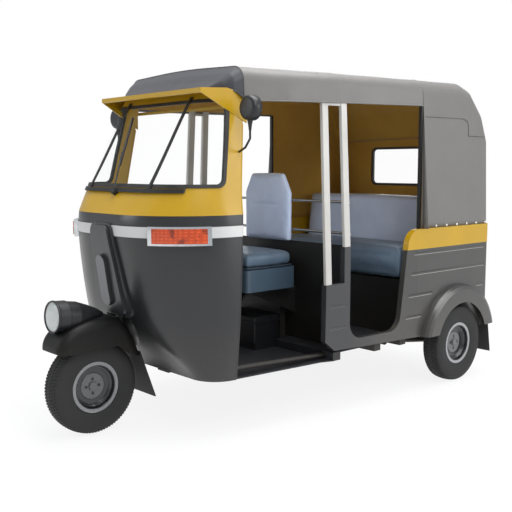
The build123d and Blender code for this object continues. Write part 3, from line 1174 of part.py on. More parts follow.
def turned_wheel(section, centre, outwards):
    """A section turned about the axle line; outwards is +1 when the wheel's outer face looks along +X."""
    with BuildPart() as turned:
        with BuildSketch(Plane.XY):
            with BuildLine():
                Polyline(*[(outwards * x, r) for r, x in section], close=True)
            make_face()
        revolve(axis=Axis.X)
    return turned.part.moved(Location(centre))


# wheel name, centre, side its outer face looks to
WHEELS = [
    ("front", (0.0, FRONT_AXLE_Y, TYRE_R), 1),
    ("rear_left", (TRACK / 2, REAR_AXLE_Y, TYRE_R), 1),
    ("rear_right", (-TRACK / 2, REAR_AXLE_Y, TYRE_R), -1),
]
for wheel_name, centre, outwards in WHEELS:
    with BuildPart() as rim:
        add(turned_wheel(RIM_SECTION, centre, outwards))
        hub_face = centre[0] + outwards * HUB_FACE_X
        with BuildSketch(Plane(origin=(hub_face, centre[1], centre[2]), z_dir=(outwards, 0, 0))):
            with PolarLocations(WHEEL_BOLT_PCD / 2, 4):
                Circle(WHEEL_BOLT_R)
        extrude(amount=-6, mode=Mode.SUBTRACT)
    finish(rim, f"{wheel_name}_rim")
    with BuildPart() as tyre:
        add(turned_wheel(TYRE_SECTION, centre, outwards))
    finish(tyre, f"{wheel_name}_tyre")
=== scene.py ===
"""Looks of an auto rickshaw: cloth, vinyl, rubber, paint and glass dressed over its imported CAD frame."""
import logging
from dataclasses import dataclass
from enum import Enum
from math import cos, pi, radians, sin

import bmesh
import bpy
import numpy as np
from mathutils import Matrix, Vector


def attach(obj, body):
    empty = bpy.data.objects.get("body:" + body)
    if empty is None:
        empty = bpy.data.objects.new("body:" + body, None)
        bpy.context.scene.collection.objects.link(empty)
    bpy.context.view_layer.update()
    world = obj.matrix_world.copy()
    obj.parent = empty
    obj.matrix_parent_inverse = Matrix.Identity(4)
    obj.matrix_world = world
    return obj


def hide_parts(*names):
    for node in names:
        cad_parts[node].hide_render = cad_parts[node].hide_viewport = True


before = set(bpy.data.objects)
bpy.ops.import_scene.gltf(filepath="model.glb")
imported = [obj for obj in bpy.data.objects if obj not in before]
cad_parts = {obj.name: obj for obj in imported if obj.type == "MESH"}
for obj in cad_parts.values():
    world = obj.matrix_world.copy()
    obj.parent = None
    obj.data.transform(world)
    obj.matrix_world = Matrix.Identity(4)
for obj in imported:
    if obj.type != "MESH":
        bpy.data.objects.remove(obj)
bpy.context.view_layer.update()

LOG = logging.getLogger("rickshaw")
MM = 0.001
FRONT_AXLE = (0.0, -1070 * MM, 216 * MM)
REAR_LEFT_AXLE = (575 * MM, 930 * MM, 216 * MM)
REAR_RIGHT_AXLE = (-575 * MM, 930 * MM, 216 * MM)
SIDES = ((1, "left"), (-1, "right"))
# distance in metres under which two points of a mesh become one
MERGE = 1e-6
# a wave texture's scale times its period in metres
WAVE = 3.14 / 20
# the range that holds most of a noise texture's values
MID_NOISE = {"From Min": 0.3, "From Max": 0.7}


# ------------------------------------------------------------------ colours and nodes
def linear(code: str) -> tuple[float, float, float, float]:
    """Turns an sRGB hex colour into linear light.

    Args:
        code: six hex digits.
    Returns:
        Linear red, green and blue, and an alpha of 1.
    """
    channels = [int(code[i : i + 2], 16) / 255 for i in (0, 2, 4)]
    r, g, b = [c / 12.92 if c <= 0.04045 else ((c + 0.055) / 1.055) ** 2.4 for c in channels]
    return r, g, b, 1.0


def add_node(tree: bpy.types.NodeTree, kind: str, inputs: dict | None = None, **settings: object) -> bpy.types.Node:
    """Adds one node with its settings, values and links.

    Args:
        tree: the material's or world's node tree.
        kind: the node's type without the ShaderNode prefix.
        inputs: socket name or number to a value, or to an output socket to link.
        settings: properties of the node itself.
    Returns:
        The node.
    """
    node = tree.nodes.new("ShaderNode" + kind)
    for name, value in settings.items():
        setattr(node, name, value)
    for key, value in (inputs or {}).items():
        if isinstance(value, bpy.types.NodeSocket):
            tree.links.new(value, node.inputs[key])
        else:
            node.inputs[key].default_value = value
    return node


# ------------------------------------------------------------------ finishes
@dataclass(frozen=True)
class Ground:
    """What a finish is painted on: a material's node tree, its Principled shader and the piece's coordinates."""

    tree: bpy.types.NodeTree
    shader: bpy.types.Node
    place: bpy.types.NodeSocket

    def feed(self, name: str, value: bpy.types.NodeSocket) -> None:
        """Links a value to the shader's socket of that name."""
        self.tree.links.new(value, self.shader.inputs[name])

    def overlay(self, share: bpy.types.NodeSocket, tone: str) -> None:
        """Lays a tone over the colour so far, as thick as a share says.

        Args:
            share: 0 where the colour stays, 1 where only the tone shows.
            tone: the tone as an sRGB hex colour.
        """
        socket = self.shader.inputs["Base Color"]
        below = socket.links[0].from_socket if socket.links else tuple(socket.default_value)
        blend = add_node(self.tree, "Mix", {"Factor": share, 6: below, 7: linear(tone)}, data_type="RGBA")
        self.feed("Base Color", blend.outputs[2])

    def apart(self, value: bpy.types.NodeSocket, middle: float) -> bpy.types.NodeSocket:
        """Measures how far a value is from a middle one.

        Args:
            value: the value.
            middle: the middle one, in metres.
        Returns:
            Their distance, never below 0.
        """
        shift = add_node(self.tree, "Math", {0: value, 1: middle}, operation="SUBTRACT")
        return add_node(self.tree, "Math", {0: shift.outputs[0]}, operation="ABSOLUTE").outputs[0]


@dataclass(frozen=True)
class Finish:
    """A surface finish: typical values of a real material, and its own pattern in dress()."""

    name: str
    colour: str
    roughness: float = 0.5
    metallic: float = 0.0
    ior: float = 1.5
    coat: float = 0.0
    coat_roughness: float = 0.1
    sheen: float = 0.0
    specular: float = 0.5

    def material(self) -> bpy.types.Material:
        """Makes the material, or finds it when it has been made before.

        Returns:
            The material.
        """
        made = bpy.data.materials.get(self.name)
        if made:
            return made
        made = bpy.data.materials.new(self.name)
        made.use_nodes = True
        tree = made.node_tree
        tree.nodes.clear()
        values = {
            "Base Color": linear(self.colour),
            "Roughness": self.roughness,
            "Metallic": self.metallic,
            "IOR": self.ior,
            "Coat Weight": self.coat,
            "Coat Roughness": self.coat_roughness,
            "Sheen Weight": self.sheen,
            "Specular IOR Level": self.specular,
        }
        shader = add_node(tree, "BsdfPrincipled", values)
        made.diffuse_color = linear(self.colour)
        self.dress(Ground(tree, shader, add_node(tree, "TexCoord").outputs["Object"]))
        add_node(tree, "OutputMaterial", {"Surface": shader.outputs[0]})
        return made

    def dress(self, ground: Ground) -> None:
        """Adds the finish's own pattern; the plain finish has none."""

    def noise(self, ground: Ground, size_mm: float, detail: float) -> bpy.types.NodeSocket:
        """A cloudy value about 0.5 whose patches are size_mm wide."""
        return add_node(
            ground.tree, "TexNoise", {"Vector": ground.place, "Scale": 1 / (size_mm * MM), "Detail": detail}
        ).outputs["Fac"]

    def mottle(self, ground: Ground, size_mm: float, amount: float, dark: str) -> bpy.types.NodeSocket:
        """Blends the colour towards a darker one in soft patches.

        Args:
            ground: the material in the making.
            size_mm: the patches' size.
            amount: how far the blend goes.
            dark: the second colour.
        Returns:
            The noise value.
        """
        patches = self.noise(ground, size_mm, 4.0)
        patches.node.inputs["Roughness"].default_value = 0.55
        share = add_node(ground.tree, "MapRange", {"Value": patches, **MID_NOISE, "To Max": amount})
        ground.overlay(share.outputs[0], dark)
        return patches

    def roughen(self, ground: Ground, value: bpy.types.NodeSocket, low: float, high: float) -> None:
        """Lets a noise value drive the roughness.

        Args:
            ground: the material in the making.
            value: the noise.
            low: the roughness where the noise is low, as a share of the finish's own.
            high: the same where it is high.
        """
        ends = {"To Min": self.roughness * low, "To Max": min(1.0, self.roughness * high)}
        spread = add_node(ground.tree, "MapRange", {"Value": value, **MID_NOISE, **ends})
        ground.feed("Roughness", spread.outputs[0])

    def emboss(
        self, ground: Ground, height: bpy.types.NodeSocket, depth_mm: float, strength: float, pressed: bool = False
    ) -> None:
        """Adds a bump of a real depth on top of the bumps before it.

        Args:
            ground: the material in the making.
            height: the pattern, from 0 to 1.
            depth_mm: what a height of 1 stands for.
            strength: how fully the bump turns the light.
            pressed: the pattern goes in and not out.
        """
        inputs = {"Height": height, "Distance": depth_mm * MM, "Strength": strength}
        before = ground.shader.inputs["Normal"].links
        if before:
            inputs["Normal"] = before[0].from_socket
        ground.feed("Normal", add_node(ground.tree, "Bump", inputs, invert=pressed).outputs[0])


@dataclass(frozen=True)
class Enamel(Finish):
    """Stoved enamel on pressed steel: an even colour under a clear, slightly rippled skin (orange peel)."""

    patch_mm: float = 260.0
    patch_tone: str = "30302c"
    # real orange peel is about 1 mm wide; it is drawn at 3 mm, so that it shows
    peel_mm: float = 3.0
    peel_depth_mm: float = 0.04
    # road dust: its tone, grain, most share of the colour, and the heights in metres between which it fades out
    dust: str = "8a7f70"
    dust_mm: float = 14.0
    dust_share: float = 0.12
    dust_top: float = 0.55
    dust_foot: float = 0.2

    def dress(self, ground: Ground) -> None:
        """Soft patches, fine orange peel and a film of road dust that fades out by knee height.

        Args:
            ground: the material in the making.
        """
        patches = self.mottle(ground, self.patch_mm, 0.12, self.patch_tone)
        height = add_node(ground.tree, "SeparateXYZ", {0: ground.place}).outputs["Z"]
        ends = {"From Min": self.dust_top, "From Max": self.dust_foot, "To Max": self.dust_share}
        low = add_node(ground.tree, "MapRange", {"Value": height, **ends}).outputs[0]
        specks = self.noise(ground, self.dust_mm, 6.0)
        film = add_node(ground.tree, "Math", {0: low, 1: specks}, operation="MULTIPLY")
        ground.overlay(film.outputs[0], self.dust)
        self.roughen(ground, patches, 0.85, 1.2)
        self.emboss(ground, self.noise(ground, self.peel_mm, 1.0), self.peel_depth_mm, 0.5)


@dataclass(frozen=True)
class PressedEnamel(Enamel):
    """Enamel over a panel with pressed grooves, with a painted highlight on each groove's lower lip and painted shade
    along its upper edge; forward of the door post painted shade darkens it.
    """

    grooves: tuple = ()
    groove_w: float = 16.0
    depth_mm: float = 4.0
    end_mm: float = 5.0
    # tones of the painted highlight on each groove's lower lip and of the painted shade along its upper edge, and how
    # strongly they show
    painted_lip_highlight: str = "b5b2ac"
    painted_groove_shade: str = "191919"
    painted_edge_share: float = 0.6
    # painted shade forward of the rear door edge: its tone, and the places in metres between which it begins
    bow: str = "2c2d30"
    bow_from: float = 0.3
    bow_to: float = 0.05

    def lines(
        self, ground: Ground, axes: bpy.types.Node, offset: float, wide: float, narrow: float
    ) -> bpy.types.NodeSocket:
        """Sums a smooth pulse for every groove, its middle set off from the groove's by offset.

        Args:
            ground: the material in the making.
            axes: the node that gives X, Y and Z apart.
            offset: distance above the groove's middle, in millimetres.
            wide: half width of the pulse's foot.
            narrow: half width of its flat top.
        Returns:
            The sum, from 0 to 1.
        """
        total = 0.0
        for z, first, last in self.grooves:
            middle, half = (first + last) / 2 * MM, (last - first) / 2 * MM
            away = ground.apart(axes.outputs["Z"], (z + offset) * MM)
            reach = ground.apart(axes.outputs["Y"], middle)
            pulse = [
                add_node(
                    ground.tree,
                    "MapRange",
                    {"Value": value, "From Min": foot, "From Max": top},
                    interpolation_type="SMOOTHSTEP",
                ).outputs[0]
                for value, foot, top in ((away, wide * MM, narrow * MM), (reach, half, half - self.end_mm * MM))
            ]
            inputs = {0: pulse[0], 1: pulse[1], 2: total}
            total = add_node(ground.tree, "Math", inputs, operation="MULTIPLY_ADD").outputs[0]
        return total

    def dress(self, ground: Ground) -> None:
        """Each groove is a smooth pulse across its height, shut at both ends, pressed in as a bump, with a painted
        highlight on its lower lip and painted shade along its upper edge; painted shade darkens the panel forward of
        the door post.

        Args:
            ground: the material in the making.
        """
        super().dress(ground)
        axes = add_node(ground.tree, "SeparateXYZ", {0: ground.place})
        half_w = self.groove_w / 2
        pressed = self.lines(ground, axes, 0.0, half_w, half_w * 0.4)
        lit = self.lines(ground, axes, 1 - half_w, 2.2, 1.0)
        shaded = self.lines(ground, axes, half_w - 1, 2.4, 1.0)
        self.emboss(ground, pressed, self.depth_mm, 1.0, pressed=True)
        # painted highlight on the lower lips, painted shade along the upper edges
        for share, tone in ((lit, self.painted_lip_highlight), (shaded, self.painted_groove_shade)):
            part = add_node(ground.tree, "Math", {0: share, 1: self.painted_edge_share}, operation="MULTIPLY", use_clamp=True)
            ground.overlay(part.outputs[0], tone)
        # painted shade: the panel drawn darker forward of the door post
        ends = {"From Min": self.bow_from, "From Max": self.bow_to, "To Max": 0.8}
        bow_shade_share = add_node(ground.tree, "MapRange", {"Value": axes.outputs["Y"], **ends})
        ground.overlay(bow_shade_share.outputs[0], self.bow)


@dataclass(frozen=True)
class NoseEnamel(Enamel):
    """Enamel of the nose cover, with a painted highlight in a paler grey on its raised capsule."""

    # lower end, upper end and radius of the capsule's middle line, in millimetres
    capsule: tuple[float, float, float] = (611.0, 776.0, 35.0)
    # tone of the painted highlight on the capsule
    pale: str = "5d5e63"

    def dress(self, ground: Ground) -> None:
        """Distance from the capsule's upright middle line picks where the painted highlight lies.

        Args:
            ground: the material in the making.
        """
        super().dress(ground)
        low, high, radius = [v * MM for v in self.capsule]
        axes = add_node(ground.tree, "SeparateXYZ", {0: ground.place})
        tall = ground.apart(axes.outputs["Z"], (low + high) / 2)
        over = add_node(ground.tree, "Math", {0: tall, 1: (high - low) / 2}, operation="SUBTRACT")
        kept = add_node(ground.tree, "Math", {0: over.outputs[0], 1: 0.0}, operation="MAXIMUM")
        flat = add_node(ground.tree, "CombineXYZ", {0: axes.outputs["X"], 1: kept.outputs[0]})
        away = add_node(ground.tree, "VectorMath", {0: flat.outputs[0]}, operation="LENGTH").outputs["Value"]
        share = add_node(
            ground.tree, "MapRange", {"Value": away, "From Min": radius + MM, "From Max": radius - 2 * MM}
        )
        ground.overlay(share.outputs[0], self.pale)


@dataclass(frozen=True)
class LinedMetal(Finish):
    """Anodised trim band with a thin black line along each edge, told apart by height."""

    low: float = 898.0
    high: float = 954.0
    cloud_mm: float = 90.0
    cloud_tone: str = "b4b4b3"
    line: str = "2b2c2f"

    def dress(self, ground: Ground) -> None:
        """Distance from the band's middle height draws the edge lines; wide noise clouds the face.

        Args:
            ground: the material in the making.
        """
        self.mottle(ground, self.cloud_mm, 0.25, self.cloud_tone)
        height = add_node(ground.tree, "SeparateXYZ", {0: ground.place}).outputs["Z"]
        away = ground.apart(height, (self.low + self.high) / 2 * MM)
        half = (self.high - self.low) / 2 * MM
        edge = add_node(
            ground.tree, "MapRange", {"Value": away, "From Min": half - 5 * MM, "From Max": half - 3 * MM}
        )
        ground.overlay(edge.outputs[0], self.line)


@dataclass(frozen=True)
class Cloth(Finish):
    """Coated canvas or plain-woven lining: crossing threads and soft weathering."""

    # a real thread is about 0.5 mm; the weave is drawn ten times as coarse, so that it shows
    thread_mm: float = 5.0
    patch_mm: float = 170.0
    pucker_mm: float = 150.0
    pucker_depth_mm: float = 5.0
    dark: str = "2b2a28"
    # a painted shade forward of the front hoop, where one is given: the canvas's front slope drawn darker for how it
    # faces the light
    bow: str = ""
    bow_y: float = -530.0

    def dress(self, ground: Ground) -> None:
        """Two crossed waves make the weave; wide noise gives the sag and the weathering; the bow tone, where one is
        given, is painted shade on the front slope.

        Args:
            ground: the material in the making.
        """
        patches = self.mottle(ground, self.patch_mm, 0.25, self.dark)
        # painted shade on the sloping front of the canvas
        if self.bow:
            along_y = add_node(ground.tree, "SeparateXYZ", {0: ground.place}).outputs["Y"]
            ends = {"From Min": (self.bow_y + 3) * MM, "From Max": (self.bow_y - 3) * MM}
            share = add_node(ground.tree, "MapRange", {"Value": along_y, **ends})
            ground.overlay(share.outputs[0], self.bow)
        inputs = {"Vector": ground.place, "Scale": WAVE / (self.thread_mm * MM), "Distortion": 0.6}
        across = add_node(ground.tree, "TexWave", inputs, bands_direction="Y").outputs["Fac"]
        along = add_node(ground.tree, "TexWave", inputs, bands_direction="X").outputs["Fac"]
        weave = add_node(ground.tree, "Math", {0: across, 1: along}, operation="MULTIPLY")
        self.emboss(ground, weave.outputs[0], 0.25, 0.6)
        self.emboss(ground, self.noise(ground, self.pucker_mm, 2.0), self.pucker_depth_mm, 0.5)
        self.roughen(ground, patches, 0.92, 1.08)


@dataclass(frozen=True)
class Vinyl(Finish):
    """Embossed upholstery vinyl: a pebbled grain and a soft, waxy shine that dulls where it is sat on."""

    # real grain is about 1 mm; it is drawn at 4 mm, so that it shows
    grain_mm: float = 4.0
    fold_mm: float = 70.0
    fold_depth_mm: float = 2.5
    patch_mm: float = 120.0
    dark: str = "26313b"

    def dress(self, ground: Ground) -> None:
        """Voronoi pebbles for the grain, noise for the wear and the folds.

        Args:
            ground: the material in the making.
        """
        wear = self.mottle(ground, self.patch_mm, 0.35, self.dark)
        inputs = {"Vector": ground.place, "Scale": 1 / (self.grain_mm * MM)}
        grain = add_node(ground.tree, "TexVoronoi", inputs, feature="SMOOTH_F1")
        self.emboss(ground, grain.outputs["Distance"], 0.35, 0.5)
        self.emboss(ground, self.noise(ground, self.fold_mm, 3.0), self.fold_depth_mm, 0.5)
        self.roughen(ground, wear, 0.85, 1.2)


@dataclass(frozen=True)
class Rubber(Finish):
    """Moulded rubber or plastic: near black, matt, bloomed paler in patches."""

    bloom: str = "4a4846"
    bloom_mm: float = 60.0
    grain_mm: float = 4.0

    def dress(self, ground: Ground) -> None:
        """Pale bloom in patches and a fine moulded grain.

        Args:
            ground: the material in the making.
        """
        patches = self.mottle(ground, self.bloom_mm, 0.3, self.bloom)
        self.roughen(ground, patches, 0.9, 1.1)
        self.emboss(ground, self.noise(ground, self.grain_mm, 3.0), 0.2, 0.4)


@dataclass(frozen=True)
class Metal(Finish):
    """Bare, cast or plated metal: its grain is a noise whose size says how it was made."""

    # the grain is drawn a few times coarser than the real one, so that it shows
    grain_mm: float = 2.0
    depth_mm: float = 0.05
    tarnish_mm: float = 45.0
    dark: str = "1c1c1c"

    def dress(self, ground: Ground) -> None:
        """Grain as bump, patches of tarnish as colour and roughness.

        Args:
            ground: the material in the making.
        """
        patches = self.mottle(ground, self.tarnish_mm, 0.3, self.dark)
        self.roughen(ground, patches, 0.8, 1.3)
        self.emboss(ground, self.noise(ground, self.grain_mm, 2.0), self.depth_mm, 0.6)


@dataclass(frozen=True)
class Glass(Finish):
    """Flat toughened glass: almost all light goes straight through."""

    clear: float = 0.985
    wave_mm: float = 300.0

    def dress(self, ground: Ground) -> None:
        """Mixes a see-through share with the glossy skin, so the pane shows what is behind it.

        Args:
            ground: the material in the making.
        """
        ground.shader.inputs["Transmission Weight"].default_value = 0.0
        ground.shader.inputs["Alpha"].default_value = 1 - self.clear
        self.emboss(ground, self.noise(ground, self.wave_mm, 2.0), 0.3, 0.3)


@dataclass(frozen=True)
class Lens(Finish):
    """Moulded acrylic lens: clear skin over rows of prisms that catch the light in bands."""

    pitch_mm: float = 12.0
    dark: str = "701800"
    # a burnt tone in patches, where one is given
    cloud: str = ""
    cloud_mm: float = 34.0

    def dress(self, ground: Ground) -> None:
        """Prism bands as a wave in bump and colour, and a little light carried through.

        Args:
            ground: the material in the making.
        """
        inputs = {"Vector": ground.place, "Scale": WAVE / (self.pitch_mm * MM)}
        bands = add_node(ground.tree, "TexWave", inputs, bands_direction="X").outputs["Fac"]
        cross = add_node(ground.tree, "TexWave", inputs, bands_direction="Z").outputs["Fac"]
        both = add_node(ground.tree, "Math", {0: bands, 1: cross}, operation="MULTIPLY").outputs[0]
        inputs = {"Factor": both, 6: linear(self.dark), 7: linear(self.colour)}
        ground.feed("Base Color", add_node(ground.tree, "Mix", inputs, data_type="RGBA").outputs[2])
        if self.cloud:
            ends = {"From Min": 0.52, "From Max": 0.68, "To Max": 0.8}
            share = add_node(ground.tree, "MapRange", {"Value": self.noise(ground, self.cloud_mm, 1.0), **ends})
            ground.overlay(share.outputs[0], self.cloud)
        ground.shader.inputs["Subsurface Weight"].default_value = 0.15
        ground.shader.inputs["Subsurface Radius"].default_value = (0.01, 0.004, 0.002)
        self.emboss(ground, both, 1.2, 0.6)


@dataclass(frozen=True)
class RimPaint(Finish):
    """Wheel enamel in three tones, told apart by distance from the axle line: grey lip, dark dish, mid grey hub."""

    centre: tuple[float, float, float] = (0.0, 0.0, 0.0)
    dark: str = "1e1f22"
    hub: str = "545557"
    hub_r: float = 60.0
    lip_r: float = 101.5
    # the ramp reaches from the axle to this radius
    ramp_r: float = 125.0
    cloud_mm: float = 60.0

    def dress(self, ground: Ground) -> None:
        """Distance from the axle picks the tone: the lip beyond lip_r, the hub inside hub_r, dark between.

        Args:
            ground: the material in the making.
        """
        tree = ground.tree
        moved = add_node(tree, "VectorMath", {0: ground.place, 1: self.centre}, operation="SUBTRACT")
        flat = add_node(tree, "VectorMath", {0: moved.outputs[0], 1: (0.0, 1.0, 1.0)}, operation="MULTIPLY")
        reach = add_node(tree, "VectorMath", {0: flat.outputs[0]}, operation="LENGTH").outputs["Value"]
        share = add_node(tree, "Math", {0: reach, 1: 1 / (self.ramp_r * MM)}, operation="MULTIPLY")
        ramp = add_node(tree, "ValToRGB", {0: share.outputs[0]})
        ramp.color_ramp.interpolation = "CONSTANT"
        stops = ramp.color_ramp.elements
        stops[0].position, stops[0].color = 0.0, linear(self.hub)
        stops[1].position, stops[1].color = self.hub_r / self.ramp_r, linear(self.dark)
        stops.new(self.lip_r / self.ramp_r).color = linear(self.colour)
        ground.feed("Base Color", ramp.outputs[0])
        self.roughen(ground, self.noise(ground, self.cloud_mm, 1.0), 0.9, 1.15)


# pressed grooves of the side panels: height, first and last place along the vehicle, in millimetres
GROOVES: tuple = (
    (751.0, 530.0, 1197.0),
    (644.0, 508.0, 1203.0),
    (528.0, 490.0, 695.0),
    (528.0, 1125.0, 1199.0),
    (414.0, 469.0, 600.0),
    (536.0, -92.0, 17.0),
    (429.0, -92.0, 17.0),
)


class Paint(Enum):
    """Every finish on the vehicle, by what it is made of."""

    # stoved enamel on body panels: smooth and hard, so it takes a soft, broad shine under a thin clear skin
    YELLOW = Enamel("stoved_enamel_amber_yellow", "b79004", 0.38, coat=0.15, coat_roughness=0.15)
    BLACK = Enamel("stoved_enamel_satin_black", "1c1d20", 0.36, coat=0.3, coat_roughness=0.22)
    # the nose's paler capsule is a painted highlight
    NOSE = NoseEnamel("stoved_enamel_nose_black", "2c2d30", 0.36, coat=0.3, coat_roughness=0.2)
    # the grey carries a painted highlight under each groove, painted shade above it, and painted shade forward of the
    # door post
    GREY = PressedEnamel("stoved_enamel_warm_grey", "3a3938", 0.36, coat=0.35, coat_roughness=0.2, grooves=GROOVES)
    POLE = Enamel("stoved_enamel_ivory_white", "bab8b3", 0.38, coat=0.2)
    PLATE = Enamel("stoved_enamel_plate_white", "e2e1da", 0.4, coat=0.1)
    SEAT_BLUE = Enamel("stoved_enamel_slate_blue", "425565", 0.42, coat=0.2)
    # enamel without a clear skin, on the guard and the chassis: duller and darker
    GUARD_BLACK = Enamel("stoved_enamel_deep_black", "08090b", 0.42, coat=0.0, coat_roughness=0.3, specular=0.2)
    FRAME_BLACK = Enamel("chassis_enamel_black", "141414", 0.5)
    # enamel sprayed on a wheel rim: glossy, in rings
    FRONT_RIM = RimPaint("wheel_enamel_front", "7b7c7e", 0.28, coat=0.5, centre=FRONT_AXLE)
    REAR_LEFT_RIM = RimPaint("wheel_enamel_rear_left", "8d8e90", 0.28, coat=0.5, centre=REAR_LEFT_AXLE)
    REAR_RIGHT_RIM = RimPaint("wheel_enamel_rear_right", "8d8e90", 0.28, coat=0.5, centre=REAR_RIGHT_AXLE)
    # bare, plated and cast metal: drawn steel, chrome and the silver behind a mirror's glass give back what is round
    # them, a sand casting is dull and pitted
    STEEL = Metal("bare_bright_steel", "9fa2a4", 0.32, 1.0, grain_mm=1.5, depth_mm=0.03, dark="6d6f70")
    CHROME = Metal("chromium_plate", "dadcde", 0.16, 1.0, grain_mm=6.0, depth_mm=0.01, dark="a0a3a6")
    CASTING = Metal("sand_cast_aluminium", "77797a", 0.62, 0.8, grain_mm=2.5, depth_mm=0.3, dark="2f2e2c")
    MIRROR = Metal("silvered_mirror_glass", "e6e9ea", 0.03, 1.0, grain_mm=300, depth_mm=0.01, dark="d5d9da")
    # anodised aluminium strip: a satin, slightly cloudy grey with printed edge lines
    BAND = LinedMetal("anodised_trim_band", "c2c2c1", 0.4, 0.2)
    # woven cloth: the canvas is coated, so it has a dull shine; the cotton lining has none and scatters at its edges;
    # the canvas's bow tone is painted shade on its front slope
    CANVAS = Cloth("vinyl_coated_canvas_grey", "676562", 0.47, sheen=0.1, thread_mm=6.0, dark="5a5855", bow="33343a")
    LINING = Cloth("woven_cotton_lining_mustard", "b98f35", 0.85, sheen=0.3, thread_mm=5.0, dark="94702a")
    # embossed vinyl sheet on foam, and the tape and cord sewn along its seams: waxy, pebbled; the backrests' copy of
    # the seat vinyl is paler, painted light for the light falling on their forward faces
    VINYL = Vinyl("embossed_vinyl_slate_blue", "5b6e80", 0.4, sheen=0.05, dark="475a6c")
    VINYL_BACK_LIT = Vinyl("embossed_vinyl_slate_blue_lit_copy", "bccae4", 0.42, sheen=0.1, dark="9cacc9")
    PIPING_GREY = Vinyl("seam_tape_dark_grey", "3a3937", 0.55, dark="2a2928")
    PIPING = Vinyl("piping_vinyl_dark_blue", "34414d", 0.45, dark="222b33")
    # moulded rubber and plastic: near black, matt, with a pale bloom; the floor's ribbed mat is worn smoother
    SEAL = Rubber("extruded_rubber_seal", "151515", 0.55)
    FLAP = Rubber("moulded_rubber_sheet", "1b1b1b", 0.7)
    TYRE = Rubber("vulcanised_tyre_rubber", "1a1a1b", 0.72, bloom="3a3938")
    MAT = Rubber("ribbed_rubber_floor", "232427", 0.55, bloom="3b3c40")
    PLASTIC = Rubber("moulded_abs_black", "16171a", 0.42, bloom="2a2b2d")
    # glass and moulded acrylic: a hard, clear skin; the lenses break the light up in rows of prisms
    GLASS = Glass("toughened_glass", "9fb3ad", 0.04, ior=1.5)
    AMBER = Lens("acrylic_lens_amber", "d8531c", 0.16, coat=0.5, pitch_mm=7.0, dark="b8400f", cloud="6f1f05")
    RED = Lens("acrylic_lens_red", "c01c12", 0.14, coat=0.6, dark="5c0805")
    CLEAR_LENS = Lens("pressed_glass_headlamp", "bcc1bf", 0.16, coat=0.5, pitch_mm=3.0, dark="b0b5b3")

    def material(self) -> bpy.types.Material:
        """The finish's Blender material."""
        return self.value.material()


# ------------------------------------------------------------------ surfaces
def surface(name: str, grid: np.ndarray, paint: Paint, around: bool = False, ring: bool = False) -> bpy.types.Object:
    """Makes a mesh from a grid of points: quad (i, j) joins points (i, j), (i+1, j), (i+1, j+1), (i, j+1).

    Args:
        name: the piece's name.
        grid: points as rows, columns, xyz.
        paint: its finish.
        around: the last column joins the first.
        ring: the last row joins the first.
    Returns:
        The object, with smooth faces pointing outwards.
    """
    rows, columns = grid.shape[:2]
    index = np.arange(rows * columns).reshape(rows, columns)
    if around:
        index = np.concatenate([index, index[:, :1]], axis=1)
    if ring:
        index = np.concatenate([index, index[:1]], axis=0)
    quads = np.stack([index[:-1, :-1], index[1:, :-1], index[1:, 1:], index[:-1, 1:]], axis=-1).reshape(-1, 4)
    mesh = bpy.data.meshes.new(name)
    mesh.from_pydata(grid.reshape(-1, 3), [], quads.tolist())
    return dressed(name, mesh, paint)


def dressed(name: str, mesh: bpy.types.Mesh, paint: Paint) -> bpy.types.Object:
    """Merges a mesh's doubles, turns its faces outwards, smooths it and gives it its finish.

    Args:
        name: the piece's name.
        mesh: the mesh.
        paint: its finish.
    Returns:
        The object.
    """
    work = bmesh.new()
    work.from_mesh(mesh)
    bmesh.ops.remove_doubles(work, verts=work.verts, dist=MERGE)
    bmesh.ops.recalc_face_normals(work, faces=work.faces)
    work.to_mesh(mesh)
    work.free()
    mesh.shade_smooth()
    mesh.materials.append(paint.material())
    piece = bpy.data.objects.new(name, mesh)
    bpy.context.scene.collection.objects.link(piece)
    return piece


def capped(grid: np.ndarray) -> np.ndarray:
    """Closes a tube's grid at both ends by rows drawn in to the end rings' middle points."""
    ends = [np.broadcast_to(row.mean(axis=0), row.shape) for row in (grid[0], grid[-1])]
    return np.concatenate([ends[0][None], grid, ends[1][None]], axis=0)


def tube_grid(path: np.ndarray, radius: float | np.ndarray, sides: int = 12) -> np.ndarray:
    """A round tube: at each path point a circle in the plane normal to the path's tangent.

    Args:
        path: points along the middle, n by 3.
        radius: one radius, or one for each point.
        sides: points around.
    Returns:
        The grid of points, closed at both ends.
    """
    tangent = np.gradient(path, axis=0)
    tangent /= np.linalg.norm(tangent, axis=1, keepdims=True)
    helper = np.where(np.abs(tangent[:, 2:3]) < 0.9, [[0.0, 0.0, 1.0]], [[1.0, 0.0, 0.0]])
    side = np.cross(tangent, helper)
    side /= np.linalg.norm(side, axis=1, keepdims=True)
    up = np.cross(side, tangent)
    turn = np.linspace(0, 2 * pi, sides, endpoint=False)
    reach = np.broadcast_to(np.asarray(radius, float).reshape(-1, 1, 1), (len(path), 1, 1))
    ring = side[:, None] * np.cos(turn)[None, :, None] + up[:, None] * np.sin(turn)[None, :, None]
    return capped(path[:, None] + reach * ring)


def smooth_path(points: list, count: int = 60) -> np.ndarray:
    """A smooth curve through points: Catmull-Rom blending of each point with its neighbours.

    Args:
        points: three or more points in metres.
        count: samples along the curve.
    Returns:
        The samples, count by 3.
    """
    knots = np.asarray(points, float)
    knots = np.concatenate([2 * knots[:1] - knots[1:2], knots, 2 * knots[-1:] - knots[-2:-1]])
    t = np.linspace(0, len(points) - 1 - 1e-9, count)
    i = t.astype(int)
    f = (t - i)[:, None]
    a, b, c, d = knots[i], knots[i + 1], knots[i + 2], knots[i + 3]
    return 0.5 * (2 * b + (c - a) * f + (2 * a - 5 * b + 4 * c - d) * f**2 + (3 * b - a - 3 * c + d) * f**3)


